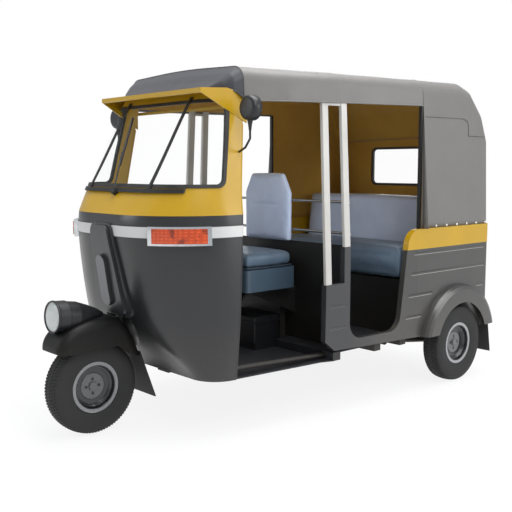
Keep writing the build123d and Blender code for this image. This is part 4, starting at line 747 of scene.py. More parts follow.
def step(value: np.ndarray, middle: float, width: float) -> np.ndarray:
    """A smooth step by the logistic curve: 0 well below the middle, 1 well above it."""
    return 1 / (1 + np.exp((middle - value) / width))


def turned_grid(profile: list, centre: tuple, axis: np.ndarray, sides: int = 64) -> np.ndarray:
    """A turned surface: profile pairs (distance along the axis, radius) carried round the axis.

    Args:
        profile: the pairs, in metres.
        centre: a point of the axis.
        axis: its direction, of length 1.
        sides: steps around.
    Returns:
        The grid of points.
    """
    pairs = np.asarray(profile, float)
    axis = np.asarray(axis, float)
    helper = np.array([0.0, 0.0, 1.0]) if abs(axis[2]) < 0.9 else np.array([1.0, 0.0, 0.0])
    side = np.cross(axis, helper)
    side /= np.linalg.norm(side)
    up = np.cross(side, axis)
    turn = np.linspace(0, 2 * pi, sides, endpoint=False)
    ring = side * np.cos(turn)[:, None] + up * np.sin(turn)[:, None]
    return np.asarray(centre) + pairs[:, 0, None, None] * axis + pairs[:, 1, None, None] * ring[None]


def rounded_box_grid(low: tuple, high: tuple, radius: float, count: int = 48) -> np.ndarray:
    """A box with rounded edges: a sphere's directions, each carried out to a shrunken box and then by the radius.

    Args:
        low: lowest corner.
        high: highest corner.
        radius: rounding of the edges.
        count: rows and half the columns.
    Returns:
        The grid of points, closed at its two poles.
    """
    low, high = np.asarray(low), np.asarray(high)
    core = (high - low) / 2 - radius
    up = np.linspace(-pi / 2, pi / 2, count)
    round_ = np.linspace(0, 2 * pi, 2 * count, endpoint=False)
    flat, tall = np.cos(up)[:, None], np.broadcast_to(np.sin(up)[:, None], (count, 2 * count))
    way = np.stack([flat * np.cos(round_), flat * np.sin(round_), tall], axis=-1)
    stretch = way / np.abs(way).max(axis=-1, keepdims=True)
    return (low + high) / 2 + np.clip(stretch * 1.35, -1, 1) * core + way * radius


def solidify(piece: bpy.types.Object, thickness: float) -> None:
    """Gives a sheet its thickness, inwards.

    Args:
        piece: the sheet.
        thickness: its thickness in metres.
    """
    wall = piece.modifiers.new("thickness", "SOLIDIFY")
    wall.thickness = thickness
    wall.offset = -1.0
    wall.use_even_offset = True


def paint_node(name: str, paint: Paint) -> None:
    """Gives a CAD node its finish.

    Args:
        name: the node's name.
        paint: the finish.
    """
    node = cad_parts[name]
    node.data.materials.clear()
    node.data.materials.append(paint.material())


# ------------------------------------------------------------------ canopy and lining
@dataclass
class Canopy:
    """Canvas over its hoops, the lining under it, welts, seams and rivets, in millimetres."""

    # y, foot_x, corner_x, corner_z, crown_z, corner_r in millimetres, front to back
    stations: tuple = (
        (-646.0, 330.0, 326.0, 1551.0, 1556.0, 12.0),
        (-606.0, 400.0, 394.0, 1584.0, 1594.0, 30.0),
        (-570.0, 432.0, 423.0, 1618.0, 1632.0, 48.0),
        (-530.0, 452.0, 440.0, 1651.0, 1669.0, 66.0),
        (-300.0, 503.0, 484.0, 1650.0, 1688.0, 75.0),
        (0.0, 543.0, 527.0, 1654.0, 1696.0, 75.0),
        (603.0, 590.0, 574.0, 1660.0, 1700.0, 75.0),
        (975.0, 594.0, 577.0, 1668.0, 1700.0, 75.0),
        (1060.0, 594.0, 577.0, 1640.0, 1662.0, 72.0),
        (1165.0, 594.0, 576.0, 1532.0, 1545.0, 66.0),
        (1222.0, 593.0, 574.0, 1402.0, 1410.0, 60.0),
        (1244.5, 572.0, 553.0, 1370.0, 1376.0, 45.0),
    )
    # y, z of the front canvas's lower edge, as two rows
    foot_line: tuple = (
        (-646.0, -606.0, -580.0, -555.0, -530.0, -505.0, 603.0),
        (1550.5, 1552.0, 1545.0, 1531.0, 1510.0, 1501.0, 1527.0),
    )
    # y, z of the rear cap's stepped seam
    cap_seam: tuple = (
        (627.0, 1471.0),
        (975.0, 1473.0),
        (1015.0, 1462.0),
        (1029.0, 1436.0),
        (1026.0, 1380.0),
        (1209.0, 1379.0),
    )
    # y, z of the ends of the row of rivets above the belt rail
    rivet_line: tuple = ((639.0, 889.0), (1209.0, 889.0))
    rivets: int = 7
    # places of the front hoop and of the seam between front and rear canvas, and height of the waist rail
    hoop_y: float = -530.0
    seam_y: float = 603.0
    waist_z: float = 880.0
    # half width, lower edge and upper edge of the rear window's opening
    window: tuple = (285.0, 1090.0, 1335.0)
    # first and last place of the lining
    lining_ends: tuple[float, float] = (-636.0, 1236.0)
    front_end: float = -644.0
    # half width over which the crown is rounded
    crown_run: float = 181.0
    hoop_pitch: float = 300.0
    # points across a half section: over the roof, round the corner, down the side
    samples: tuple[int, int, int] = (22, 14, 24)
    # height to which the sides of the front canvas are drawn out before they are cut to its edge
    front_waist: float = 1450.0
    canvas_mm: float = 1.6
    lining_mm: float = 1.2
    lining_gap: float = 7.0
    # width in metres of the roll that the cloth is cut from
    roll_w: float = 1.2

    def half_section(self, y: np.ndarray, foot_z: np.ndarray, grow: float) -> np.ndarray:
        """Half cross sections, crown to foot: a parabola over the crown, a straight slope, an arc, a straight side.

        Args:
            y: places of the sections in millimetres.
            foot_z: height of the lower edge at each.
            grow: distance outside the nominal form.
        Returns:
            Points, sections by samples by xyz, in millimetres.
        """
        table = np.asarray(self.stations)
        foot_x, corner_x, corner_z, crown_z, radius = [
            np.interp(y, table[:, 0], column)[:, None] for column in table.T[1:]
        ]
        over, turn, down = self.samples
        nominal_foot = np.where(y > self.seam_y, self.waist_z, self.front_waist)[:, None]
        crown = np.stack([np.zeros_like(crown_z), crown_z + grow], -1)
        corner = np.stack([corner_x + grow, corner_z + grow], -1)
        foot = np.stack([foot_x + grow, nominal_foot], -1)
        first, second = corner - crown, foot - corner
        first /= np.linalg.norm(first, axis=-1, keepdims=True)
        second /= np.linalg.norm(second, axis=-1, keepdims=True)
        bend = np.arccos(np.clip((first * second).sum(-1, keepdims=True), -1, 1))
        radius = (radius + grow)[..., None]
        run = radius * np.tan(bend / 2)
        inward = np.stack([first[..., 1], -first[..., 0]], -1)
        start = corner - first * run
        share = np.linspace(0, 1, over)[None, :, None]
        slope = crown + (start - crown) * share
        fall = -first[..., 1:] / first[..., :1]
        x = slope[..., :1]
        crown_run = self.crown_run
        rounded = crown[..., 1:] - fall * crown_run / 2 - fall * x**2 / (2 * crown_run)
        top = np.concatenate([x, np.where(x < crown_run, rounded, crown[..., 1:] - fall * x)], -1)
        angle = bend * np.linspace(0, 1, turn)[None, 1:, None]
        arc = start + inward * radius * (1 - np.cos(angle)) + first * radius * np.sin(angle)
        tail = arc[:, -1:]
        low = np.minimum(foot_z[:, None, None], tail[..., 1:] - 0.5)
        end = tail + second * (low - tail[..., 1:]) / second[..., 1:]
        side = tail + (end - tail) * np.linspace(0, 1, down)[None, 1:, None]
        flat = np.concatenate([top, arc, side], axis=1)
        return np.stack([flat[..., 0], np.broadcast_to(y[:, None], flat.shape[:2]), flat[..., 1]], -1)

    def sheet_grid(self, y: np.ndarray, foot_z: np.ndarray, grow: float, sag: float) -> np.ndarray:
        """The whole sheet: both halves of every section, drawn in between the hoops by a sine of depth sag.

        Args:
            y: places of the sections in millimetres.
            foot_z: the lower edge at each.
            grow: distance outside the nominal form.
            sag: depth between hoops in millimetres.
        Returns:
            The grid in metres.
        """
        half = self.half_section(y, foot_z, grow)
        mirrored = half[:, ::-1] * np.array([-1.0, 1.0, 1.0])
        grid = np.concatenate([mirrored[:, :-1], half], axis=1)
        hoop = 0.5 - 0.5 * np.cos(2 * pi * (y - self.seam_y) / self.hoop_pitch)
        inside = np.array([0.0, 0.0, 1400.0]) - grid
        inside[..., 1] = 0
        inside /= np.linalg.norm(inside, axis=-1, keepdims=True)
        edge = np.sin(np.linspace(0, pi, grid.shape[1])) ** 0.5
        ripple = 0.6 + 0.4 * np.sin(np.linspace(0, 9 * pi, grid.shape[1]))[None, :] * np.sin(y / 61.0)[:, None]
        return (grid + inside * (sag * hoop[:, None] * edge[None, :] * ripple)[..., None]) * MM

    def front_foot(self, y: np.ndarray) -> np.ndarray:
        """Height of the front canvas's lower edge along Y: the visor's curved top, then the long valance."""
        return np.interp(y, self.foot_line[0], self.foot_line[1])

    def side_line(self, points: list, grow: float, side: int) -> np.ndarray:
        """A line on the canopy's flat side through (y, z) points, set out by grow.

        Args:
            points: the corners in millimetres.
            grow: distance outside the nominal form.
            side: 1 for left, -1 for right.
        Returns:
            The line in metres.
        """
        corners = np.asarray(points, float)
        legs = np.r_[0, np.cumsum(np.hypot(*np.diff(corners, axis=0).T))]
        walk = np.linspace(0, legs[-1], 120)
        y, z = np.interp(walk, legs, corners[:, 0]), np.interp(walk, legs, corners[:, 1])
        table = np.asarray(self.stations)
        foot_x, corner_x, corner_z = [np.interp(y, table[:, 0], column) for column in table.T[1:4]]
        x = foot_x + (corner_x - foot_x) * (z - self.waist_z) / (corner_z - self.waist_z) + grow
        return np.stack([side * x, y, z], -1) * MM

    def back_grid(self, grow: float, place_y: float) -> np.ndarray:
        """The flat rear cloth: rays from the window's rounded edge out to the last section's outline.

        Args:
            grow: distance outside the nominal form.
            place_y: its place in millimetres.
        Returns:
            The grid in metres, rows from the window outwards.
        """
        own_y = min(place_y, self.stations[-1][0])
        outline = self.half_section(np.array([own_y]), np.array([self.waist_z]), grow)[0][:, [0, 2]]
        outline = np.concatenate([outline[::-1] * [-1, 1], outline[1:]], axis=0)
        foot = np.linspace(outline[-1], outline[0], 40)[1:-1]
        outer = np.concatenate([outline, foot])
        half_w, low, high = self.window
        middle = np.array([0.0, (low + high) / 2])
        way = outer - middle
        size = np.array([half_w, (high - low) / 2])
        scale = (np.abs(way / size) ** 8).sum(axis=1, keepdims=True) ** (1 / 8)
        inner = middle + way / scale
        share = np.linspace(0, 1, 14)[:, None, None]
        flat = inner + (outer - inner) * share
        return np.stack([flat[..., 0], np.full(flat.shape[:2], place_y), flat[..., 1]], -1) * MM

    def cloth(
        self, name: str, grid: np.ndarray, paint: Paint, thickness: float, around: bool = False
    ) -> bpy.types.Object:
        """Args:
            name: the piece's name.
            grid: its points in metres.
            paint: its finish.
            thickness: in millimetres.
            around: the last column joins the first.
        Returns:
            The piece.
        """
        piece = surface(name, grid, paint, around=around)
        solidify(piece, thickness * MM)
        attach(piece, "body")
        return piece

    def build(self) -> None:
        """Makes the canvas, the lining, their welts, the rear seams and the rivets."""
        turn_y, end_y = self.stations[-2][0], self.stations[-1][0]
        slope, roof = np.linspace(self.front_end, self.hoop_y - 4, 36), np.linspace(self.hoop_y, self.seam_y + 6, 100)
        front = np.concatenate([slope, roof])
        rear = np.concatenate([np.linspace(self.seam_y, turn_y, 70), np.linspace(turn_y + 4, end_y, 6)])
        waist = np.full(len(rear), self.waist_z)
        canvas, lining, gap = (Paint.CANVAS, self.canvas_mm), (Paint.LINING, self.lining_mm), -self.lining_gap
        outer = self.cloth("canopy_front_canvas", self.sheet_grid(front, self.front_foot(front), 1.0, 3.0), *canvas)
        back = self.cloth("canopy_rear_canvas", self.sheet_grid(rear, waist, 0.4, 2.0), *canvas)
        wall = self.cloth("canopy_back_canvas", self.back_grid(0.4, end_y + 0.4), *canvas, around=True)
        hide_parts("canopy_front")
        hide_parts("canopy_rear")
        lining_y = np.linspace(*self.lining_ends, 150)
        foot = np.where(lining_y < self.seam_y, self.front_foot(lining_y) + 8, self.waist_z)
        inner = self.cloth("roof_lining_cloth", self.sheet_grid(lining_y, foot, gap, 4.0), *lining)
        inner_back = self.cloth("back_lining_cloth", self.back_grid(gap, lining_y[-1]), *lining, around=True)
        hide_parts("roof_lining")
        self.trim(front)

    def trim(self, front: np.ndarray) -> None:
        """Adds the welts along the lower edges and over the hoops, the rear cap's stepped seam and the rivets.

        Args:
            front: places of the front canvas's sections in millimetres.
        """
        for side, hand in SIDES:
            turn = np.array([side, 1, 1]) * MM
            edge = self.half_section(front, self.front_foot(front), 1.5)[:, -1] * turn
            bow, seam = [
                self.half_section(np.array([y]), np.array([z]), 0.6)[0] * turn
                for y, z in ((self.hoop_y, 1512.0), (self.seam_y + 3, self.waist_z))
            ]
            step = self.side_line(list(self.cap_seam), 0.3, side)
            # name, middle line, radius in millimetres and finish of each welt
            for name, line, radius, paint in (
                ("valance", edge, 3.2, Paint.CANVAS),
                ("bow", bow, 2.2, Paint.CANVAS),
                ("seam", seam, 2.2, Paint.CANVAS),
                ("cap", step, 1.4, Paint.PIPING_GREY),
            ):
                welt = surface(f"{name}_welt_{hand}", tube_grid(line, radius * MM, 8), paint, around=True)
                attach(welt, "body")
            spots = self.side_line(list(self.rivet_line), 1.0, side)
            for n, spot in enumerate(spots[np.linspace(0, len(spots) - 1, self.rivets).astype(int)]):
                dome = np.array([(0, 7.0), (1.6, 6.4), (3.2, 3.6), (3.8, 0)]) * MM
                head = turned_grid(dome, tuple(spot), (side, 0, 0), 12)
                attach(surface(f"belt_rivet_{hand}_{n}", head, Paint.PLATE, around=True), "body")


# ------------------------------------------------------------------ seats
@dataclass
class Cushion:
    """One stuffed piece: where its solid is, how full it is, and where a seam is pressed into it; in millimetres."""

    name: str
    node: str
    low: tuple
    high: tuple
    # radius of the edges before it swells, and the furthest that a point moves when it does
    rounding: float
    cap_mm: float
    # how far the top lies behind the foot, and the share of its width that the top loses
    lean: float = 0.0
    narrow: float = 0.0
    # share of the pad's volume that is stuffing
    fill: float = 0.7
    paint: Paint = Paint.VINYL
    # height, half width and depth of the pressed seam in millimetres, where there is one
    crease: tuple = ()

    def start_grid(self) -> np.ndarray:
        """The unswollen form: a rounded box, leant back by height and narrowed towards its top.

        Returns:
            The grid of points in metres.
        """
        grid = rounded_box_grid([v * MM for v in self.low], [v * MM for v in self.high], self.rounding * MM)
        height = (grid[..., 2] - self.low[2] * MM) / ((self.high[2] - self.low[2]) * MM)
        grid[..., 1] += self.lean * MM * height
        grid[..., 0] *= 1 - self.narrow * np.clip((height - 0.72) / 0.28, 0, 1)
        return grid

    def press_crease(self, piece: bpy.types.Object) -> None:
        """Presses a short seam into the front: depth falls off with height from it and towards its ends.

        Args:
            piece: the swollen pad, changed in place.
        """
        z, half_w, depth = [v * MM for v in self.crease]
        points = vertices(piece)
        front = points[:, 1] < (self.low[1] + self.high[1]) / 2 * MM + self.lean * MM
        near = np.exp(-(((points[:, 2] - z) / (7 * MM)) ** 2))
        ends = np.clip((half_w - np.abs(points[:, 0])) / (20 * MM), 0, 1)
        points[:, 1] += depth * near * ends * front
        piece.data.vertices.foreach_set("co", points.astype(np.float32).ravel())

    def build(self) -> bpy.types.Object:
        """Returns:
            The finished pad.
        """
        piece = surface(self.name, self.start_grid(), self.paint, around=True)
        swell(piece, self.cap_mm * MM)
        if self.crease:
            self.press_crease(piece)
        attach(piece, "body")
        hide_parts(self.node)
        LOG.info("%s: %d faces", self.name, len(piece.data.polygons))
        return piece


SWELL_VOXEL = 6 * MM
SWELL_PRESSURE = 4.0
SWELL_FRAMES = 20


def swell(piece: bpy.types.Object, cap: float) -> None:
    """Remeshes a piece and swells it as cloth under pressure, each point moving by cap at most.

    Args:
        piece: the piece, changed in place.
        cap: the furthest that a point moves, in metres.
    """
    remesh = piece.modifiers.new("remesh", "REMESH")
    remesh.mode = "VOXEL"
    remesh.voxel_size = SWELL_VOXEL
    apply_modifiers(piece)
    before = vertices(piece)
    cloth = piece.modifiers.new("cloth", "CLOTH")
    cloth.settings.use_pressure = True
    cloth.settings.uniform_pressure_force = SWELL_PRESSURE
    cloth.settings.effector_weights.gravity = 0.0
    cloth.settings.quality = 4
    scene = bpy.context.scene
    for frame in range(1, SWELL_FRAMES + 1):
        scene.frame_set(frame)
    apply_modifiers(piece)
    scene.frame_set(1)
    after = vertices(piece)
    move = after - before
    length = np.linalg.norm(move, axis=1, keepdims=True)
    after = before + move * np.minimum(1.0, cap / np.maximum(length, 1e-9))
    piece.data.vertices.foreach_set("co", after.astype(np.float32).ravel())
    soft = piece.modifiers.new("settle", "SMOOTH")
    soft.iterations = 3
    apply_modifiers(piece)
    piece.data.shade_smooth()


def vertices(piece: bpy.types.Object) -> np.ndarray:
    """Reads a piece's points.

    Args:
        piece: the piece.
    Returns:
        The points, n by 3, in metres.
    """
    flat = np.empty(len(piece.data.vertices) * 3, np.float32)
    piece.data.vertices.foreach_get("co", flat)
    return flat.reshape(-1, 3).astype(float)


def apply_modifiers(piece: bpy.types.Object) -> None:
    """Replaces a piece's mesh by what its modifiers make of it.

    Args:
        piece: the piece, changed in place.
    """
    graph = bpy.context.evaluated_depsgraph_get()
    made = bpy.data.meshes.new_from_object(piece.evaluated_get(graph))
    piece.modifiers.clear()
    piece.data = made


@dataclass
class Seats:
    """Driver's seat and passenger bench, in the solids' sizes, in millimetres."""

    cushions: tuple = (
        Cushion(
            "driver_seat_pad",
            "driver_cushion",
            low=(-240, -331, 706),
            high=(240, -9, 780),
            rounding=30,
            cap_mm=9,
            fill=0.8,
        ),
        Cushion(
            "driver_back_pad",
            "driver_backrest",
            low=(-176, 10, 812),
            high=(176, 56, 1184),
            rounding=22,
            cap_mm=8,
            narrow=0.3,
            fill=0.7,
            # a paler copy of the seat vinyl: painted light on the backrest
            paint=Paint.VINYL_BACK_LIT,
            crease=(1012, 110, 7),
        ),
        Cushion(
            "bench_pad",
            "rear_cushion",
            low=(-554, 470, 612),
            high=(554, 842, 782),
            rounding=50,
            cap_mm=10,
            fill=0.75,
        ),
        Cushion(
            "bench_back_pad",
            "rear_backrest",
            low=(-550, 860, 650),
            high=(550, 946, 1052),
            rounding=38,
            cap_mm=10,
            lean=52,
            fill=0.7,
            # a paler copy of the seat vinyl: painted light on the backrest
            paint=Paint.VINYL_BACK_LIT,
        ),
    )
    # the piping's plan, height, corner radius and own radius
    piping_low: tuple[float, float] = (-238.0, -329.0)
    piping_high: tuple[float, float] = (238.0, -11.0)
    piping_z: float = 708.0
    piping_corner: float = 26.0
    piping_r: float = 4.0

    def build(self) -> None:
        """Makes the pads and the driver's piping."""
        for cushion in self.cushions:
            cushion.build()
        self.piping("driver_seat_welt")

    def piping(self, name: str) -> None:
        """A piping round the driver's pad, its corners rounded: a circle's directions clipped to the plan.

        Args:
            name: the piece's name.
        """
        low, high, radius = self.piping_low, self.piping_high, self.piping_corner
        turn = np.linspace(0, 2 * pi, 160, endpoint=False)
        way = np.stack([np.cos(turn), np.sin(turn)], -1)
        core = (np.asarray(high, float) - low) / 2 - radius
        flat = (np.asarray(high, float) + low) / 2 + np.clip(way * 1.5, -1, 1) * core + way * radius
        path = np.concatenate([flat, np.full((len(flat), 1), self.piping_z)], axis=1) * MM
        grid = tube_grid(np.concatenate([path, path[:2]]), self.piping_r * MM, 8)
        piece = surface(name, grid, Paint.PIPING, around=True)
        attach(piece, "body")


# ------------------------------------------------------------------ wheels
@dataclass
class Wheel:
    """A tyre with its tread, and the small parts on the rim; the centre is in metres, sizes in millimetres."""

    name: str
    body: str
    centre: tuple
    outwards: int
    tyre_r: float = 216.0
    # tread blocks round the tyre, and the depth of the grooves between them
    pitches: int = 88
    groove_mm: float = 4.6
    # half width of the tread and the radius at which it ends on the side wall
    tread_half: float = 45.5
    tread_foot: float = 198.0
    # ring grooves: distance from the middle, half width, share of the full depth
    rings: tuple = ((15.0, 1.9, 1.0), (31.0, 1.5, 0.8))
    # distance from the middle beyond which the shoulder sipes run, and within which the middle ones do
    sipes: tuple[float, float] = (17.0, 14.0)
    # raised rings on the side wall: height, radius, width
    ribs: tuple = ((0.9, 133.0, 1.2), (0.9, 190.0, 1.2), (0.7, 178.0, 0.9))
    nut_circle: float = 33.0
    # y and z of the valve from the axle
    valve: tuple[float, float] = (-88.0, 24.0)

    def tyre_grid(self) -> np.ndarray:
        """The tyre: a rounded section carried round the axle, its tread cut by grooves and cross sipes.

        The section is a smooth curve through (distance outwards, radius) pairs. The tread falls by the groove depth
        where ring grooves run and where slanted sipes cross its shoulders.

        Returns:
            The grid of points in metres.
        """
        bead = [(36, 101.5), (38, 113), (43.5, 118.5), (46, 122)]
        wall = [(50.5, 140), (53.5, 163), (52.5, 186), (48.5, 201), (43, 209.5)]
        shoulder_x, shoulder_r = wall[-1]
        side = smooth_path([(x, r, 0) for x, r in bead + wall], 30)[:, :2]
        across = np.linspace(shoulder_x, -shoulder_x, 56)[1:-1]
        rise = (self.tyre_r - 0.2 - shoulder_r) * (1 - (across / shoulder_x) ** 2) ** 0.8
        crown = np.stack([across, shoulder_r + rise], -1)
        section = np.concatenate([side, crown, side[::-1] * [-1, 1]])
        steps = self.pitches * 8
        turn = np.linspace(0, 2 * pi, steps, endpoint=False)
        x, radius = section[:, 0][None], section[:, 1][None]
        phase = self.pitches * turn[:, None]
        out = np.abs(x)
        on_tread = step(-out, -self.tread_half, 0.8) * step(radius, self.tread_foot, 1.5)
        rings = sum(share * np.exp(-(((out - at) / wide) ** 4)) for at, wide, share in self.rings)
        # each sipe slants, as its wave's phase runs on with the distance across the tread
        shoulder = step(np.sin(phase + 0.16 * x), 0.55, 1 / 9) * (out > self.sipes[0])
        middle = step(np.sin(phase + 0.3 * x + 1.5), 0.75, 1 / 10) * (out < self.sipes[1])
        depth = self.groove_mm * on_tread * np.clip(rings + shoulder + 0.7 * middle, 0, 1)
        lines = sum(high * np.exp(-(((radius - at) / wide) ** 2)) for high, at, wide in self.ribs)
        reach = (radius - depth) * MM
        along = (x + np.sign(x) * lines) * MM * self.outwards
        cx, cy, cz = self.centre
        y, z = cy + reach * np.cos(turn)[:, None], cz + reach * np.sin(turn)[:, None]
        return np.stack([cx + np.broadcast_to(along, reach.shape), y, z], -1)

    def rim_grid(self) -> np.ndarray:
        """The rim's outer face: a smooth profile of lip, well, dish, hub disc and cap, turned round the axle.

        Returns:
            The grid of points in metres.
        """
        lip = [(38.5, 116.4), (41.5, 117.0), (43, 116.4), (42.4, 114), (41.6, 108), (41, 101)]
        well = [(38, 98.4), (30, 97.2), (23, 95.5), (19, 91), (17.4, 86), (13, 83.4)]
        disc = [(11.2, 78), (10.6, 66), (11.0, 61), (13.2, 59.2), (13.6, 56), (13.6, 40), (13.6, 24)]
        cap = [(14.0, 20.6), (18, 20), (21.0, 18.6), (22, 15), (22.4, 7), (22.4, 0.0)]
        curve = smooth_path([(x, r, 0) for x, r in lip + well + disc + cap], 150)[:, :2]
        return turned_grid([(x * MM * self.outwards, max(r, 0.0) * MM) for x, r in curve], self.centre, (1, 0, 0), 96)

    def build(self, rim_paint: Paint) -> None:
        """Makes the tyre and dresses the rim with its nuts and valve.

        Args:
            rim_paint: the finish of this wheel's rim.
        """
        tyre = surface(f"{self.name}_tread_tyre", self.tyre_grid(), Paint.TYRE, ring=True)
        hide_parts(f"{self.name}_tyre")
        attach(tyre, self.body)
        paint_node(f"{self.name}_rim", rim_paint)
        face = surface(f"{self.name}_rim_face", self.rim_grid(), rim_paint, around=True)
        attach(face, self.body)
        self.bolts()
        LOG.info("%s: %d faces in the tyre", self.name, len(tyre.data.polygons))

    def bolts(self) -> None:
        """Four wheel nuts on their circle, and a valve in the dish."""
        cx, cy, cz = self.centre
        for n in range(4):
            turn = pi / 2 * n
            spot = (cx, cy + self.nut_circle * MM * cos(turn), cz + self.nut_circle * MM * sin(turn))
            dome = [(13.2, 7.4), (14.2, 7.0), (14.4, 5.6), (13.8, 5.0), (13.9, 0.0)]
            self.add(f"{self.name}_nut_{n}", dome, spot, Paint.FRAME_BLACK, 24)
        stem = [(18, 0), (18, 4), (34, 3.4), (36, 2.6), (36, 0)]
        spot = (cx, cy + self.valve[0] * MM, cz + self.valve[1] * MM)
        self.add(f"{self.name}_valve", stem, spot, Paint.SEAL, 16)

    def add(self, name: str, profile: list, centre: tuple, paint: Paint, sides: int) -> None:
        """Adds a small turned part along the axle.

        Args:
            name: the piece's name.
            profile: pairs of distance outwards and radius, in millimetres.
            centre: a point of its middle line, in metres.
            paint: its finish.
            sides: steps around.
        """
        pairs = [(out * self.outwards * MM, radius * MM) for out, radius in profile]
        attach(surface(name, turned_grid(pairs, centre, (1, 0, 0), sides), paint, around=True), self.body)


# ------------------------------------------------------------------ fittings
@dataclass
class Fittings:
    """Small hardware, in millimetres: lamp ring, mirrors, springs, finned engine, grips, levers, nuts, edge rolls."""

    # middle of the headlamp's rim, and the way it faces backwards
    lamp: tuple = (0.0, -1253.0, 556.0)
    lamp_axis: tuple = (0.0, 0.99747, -0.07097)
    # middle of the left mirror
    mirror: tuple = (526.0, -565.0, 1462.0)
    # y and z of the handlebar
    bar: tuple = (-697.9, 985.0)
    # corners of the engine's casing, and its cooling fins
    engine_low: tuple = (-190.0, 640.0, 236.0)
    engine_high: tuple = (190.0, 1090.0, 560.0)
    fin_pitch: float = 17.0
    fin_depth: float = 13.0
    # exponent of the superellipse that is the casing's plan: high is square
    casing_power: float = 9.0
    # rear springs: foot, how far the head lies behind and above it, coil radius, wire radius, turns
    spring_foot: tuple = (425.0, 850.0, 252.0)
    spring_run: tuple[float, float] = (20.0, 336.0)
    coil_r: float = 31.0
    wire_r: float = 5.0
    coil_turns: int = 9
    # where the left grip starts, and its length
    grip_x: float = 188.0
    grip_run: float = 110.0
    # the left lever's bends: x, and y and z from the handlebar
    lever: tuple = ((172.0, -12.0, 0.0), (190.0, -34.0, -2.0), (235.0, -50.0, -4.0), (292.0, -54.0, -6.0))
    axle_nut: tuple = (-94.0, -1070.0, 216.0)
    link_nut: tuple = (-94.0, -958.0, 196.0)
    # the left one of the plate's screws
    plate_screw: tuple = (70.0, 1247.0, 734.0)
    # rolled door edge: radius, and how far it stands in from its line
    roll_r: float = 5.5
    roll_in: float = 4.0
    # x, y, z of the cab's door edge, foot to head
    door_edge: tuple = (
        (500.0, -625.0, 264.0),
        (506.0, -618.0, 400.0),
        (508.0, -610.0, 522.0),
        (504.0, -598.0, 685.0),
        (494.0, -583.0, 868.0),
        (485.0, -573.0, 998.0),
        (467.0, -564.0, 1110.0),
        (440.0, -535.0, 1330.0),
        (431.5, -525.5, 1400.0),
    )

    def turned(
        self,
        name: str,
        profile: list,
        centre: tuple,
        axis: tuple,
        paint: Paint,
        body: str = "body",
        sides: int = 32,
    ) -> None:
        """Adds one turned piece.

        Args:
            name: the piece's name.
            profile: pairs of distance along the axis and radius, in millimetres.
            centre: a point of the axis, in millimetres.
            axis: the axis's direction.
            paint: its finish.
            body: the body that carries it.
            sides: steps around.
        """
        grid = turned_grid(np.asarray(profile, float) * MM, tuple(np.asarray(centre) * MM), axis, sides)
        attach(surface(name, grid, paint, around=True), body)

    def tube(
        self, name: str, points: np.ndarray, radius: float, paint: Paint, body: str = "body", sides: int = 10
    ) -> None:
        """Adds one round tube.

        Args:
            name: the piece's name.
            points: points along its middle, in millimetres.
            radius: its radius in millimetres.
            paint: its finish.
            body: the body that carries it.
            sides: points around.
        """
        grid = tube_grid(np.asarray(points, float) * MM, radius * MM, sides)
        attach(surface(name, grid, paint, around=True), body)

    def lamps(self) -> None:
        """The headlamp's rim ring: a half-round bead turned round the lamp's axis."""
        ring = [(1.0, 64.5), (-3.2, 65.5), (-4.6, 67.8), (-3.8, 70.4), (0.0, 72.0), (7.0, 72.2), (8.5, 70.6)]
        self.turned("headlamp_ring", ring, self.lamp, self.lamp_axis, Paint.PLASTIC, "steering", 72)

    def mirrors(self) -> None:
        """Slightly crowned glasses, smooth round cups over their backs, and a boot on each stalk."""
        x, y, z = self.mirror
        for side, hand in SIDES:
            glass = [(18.1, 49.4), (18.9, 49.2), (19.6, 34.0), (20.1, 17.0), (20.3, 0.0)]
            self.turned(f"mirror_glass_{hand}", glass, (side * x, y, z), (0, 1, 0), Paint.MIRROR, sides=48)
            cup = [(23.4, 52.0), (22.0, 54.6), (-4.0, 54.8), (-15.0, 52.5)]
            cup += [(-21.0, 46.5), (-23.6, 36.0), (-24.6, 18.0), (-24.9, 0.0)]
            self.turned(f"mirror_cup_{hand}", cup, (side * x, y, z), (0, 1, 0), Paint.PLASTIC, sides=64)
            boot = [(-52.0, 13.0), (-60.0, 11.5), (-74.0, 8.5), (-92.0, 6.4), (-100.0, 5.2)]
            self.turned(f"mirror_boot_{hand}", boot, (side * x, y, z), (0, 0, 1), Paint.PLASTIC, sides=24)

    def springs(self) -> None:
        """Coil springs round the rear legs: a helix whose wire is half sunk in the damper's sleeve."""
        turn = np.linspace(0, self.coil_turns * 2 * pi, 240)
        share = turn / turn[-1]
        x, y, z = self.spring_foot
        back, rise = self.spring_run
        for side, hand in SIDES:
            round_x, round_y = self.coil_r * np.cos(turn), self.coil_r * np.sin(turn)
            helix = np.stack([side * x + round_x, y + back * share + round_y, z + rise * share], -1)
            self.tube(f"rear_coil_{hand}", helix, self.wire_r, Paint.STEEL, sides=8)

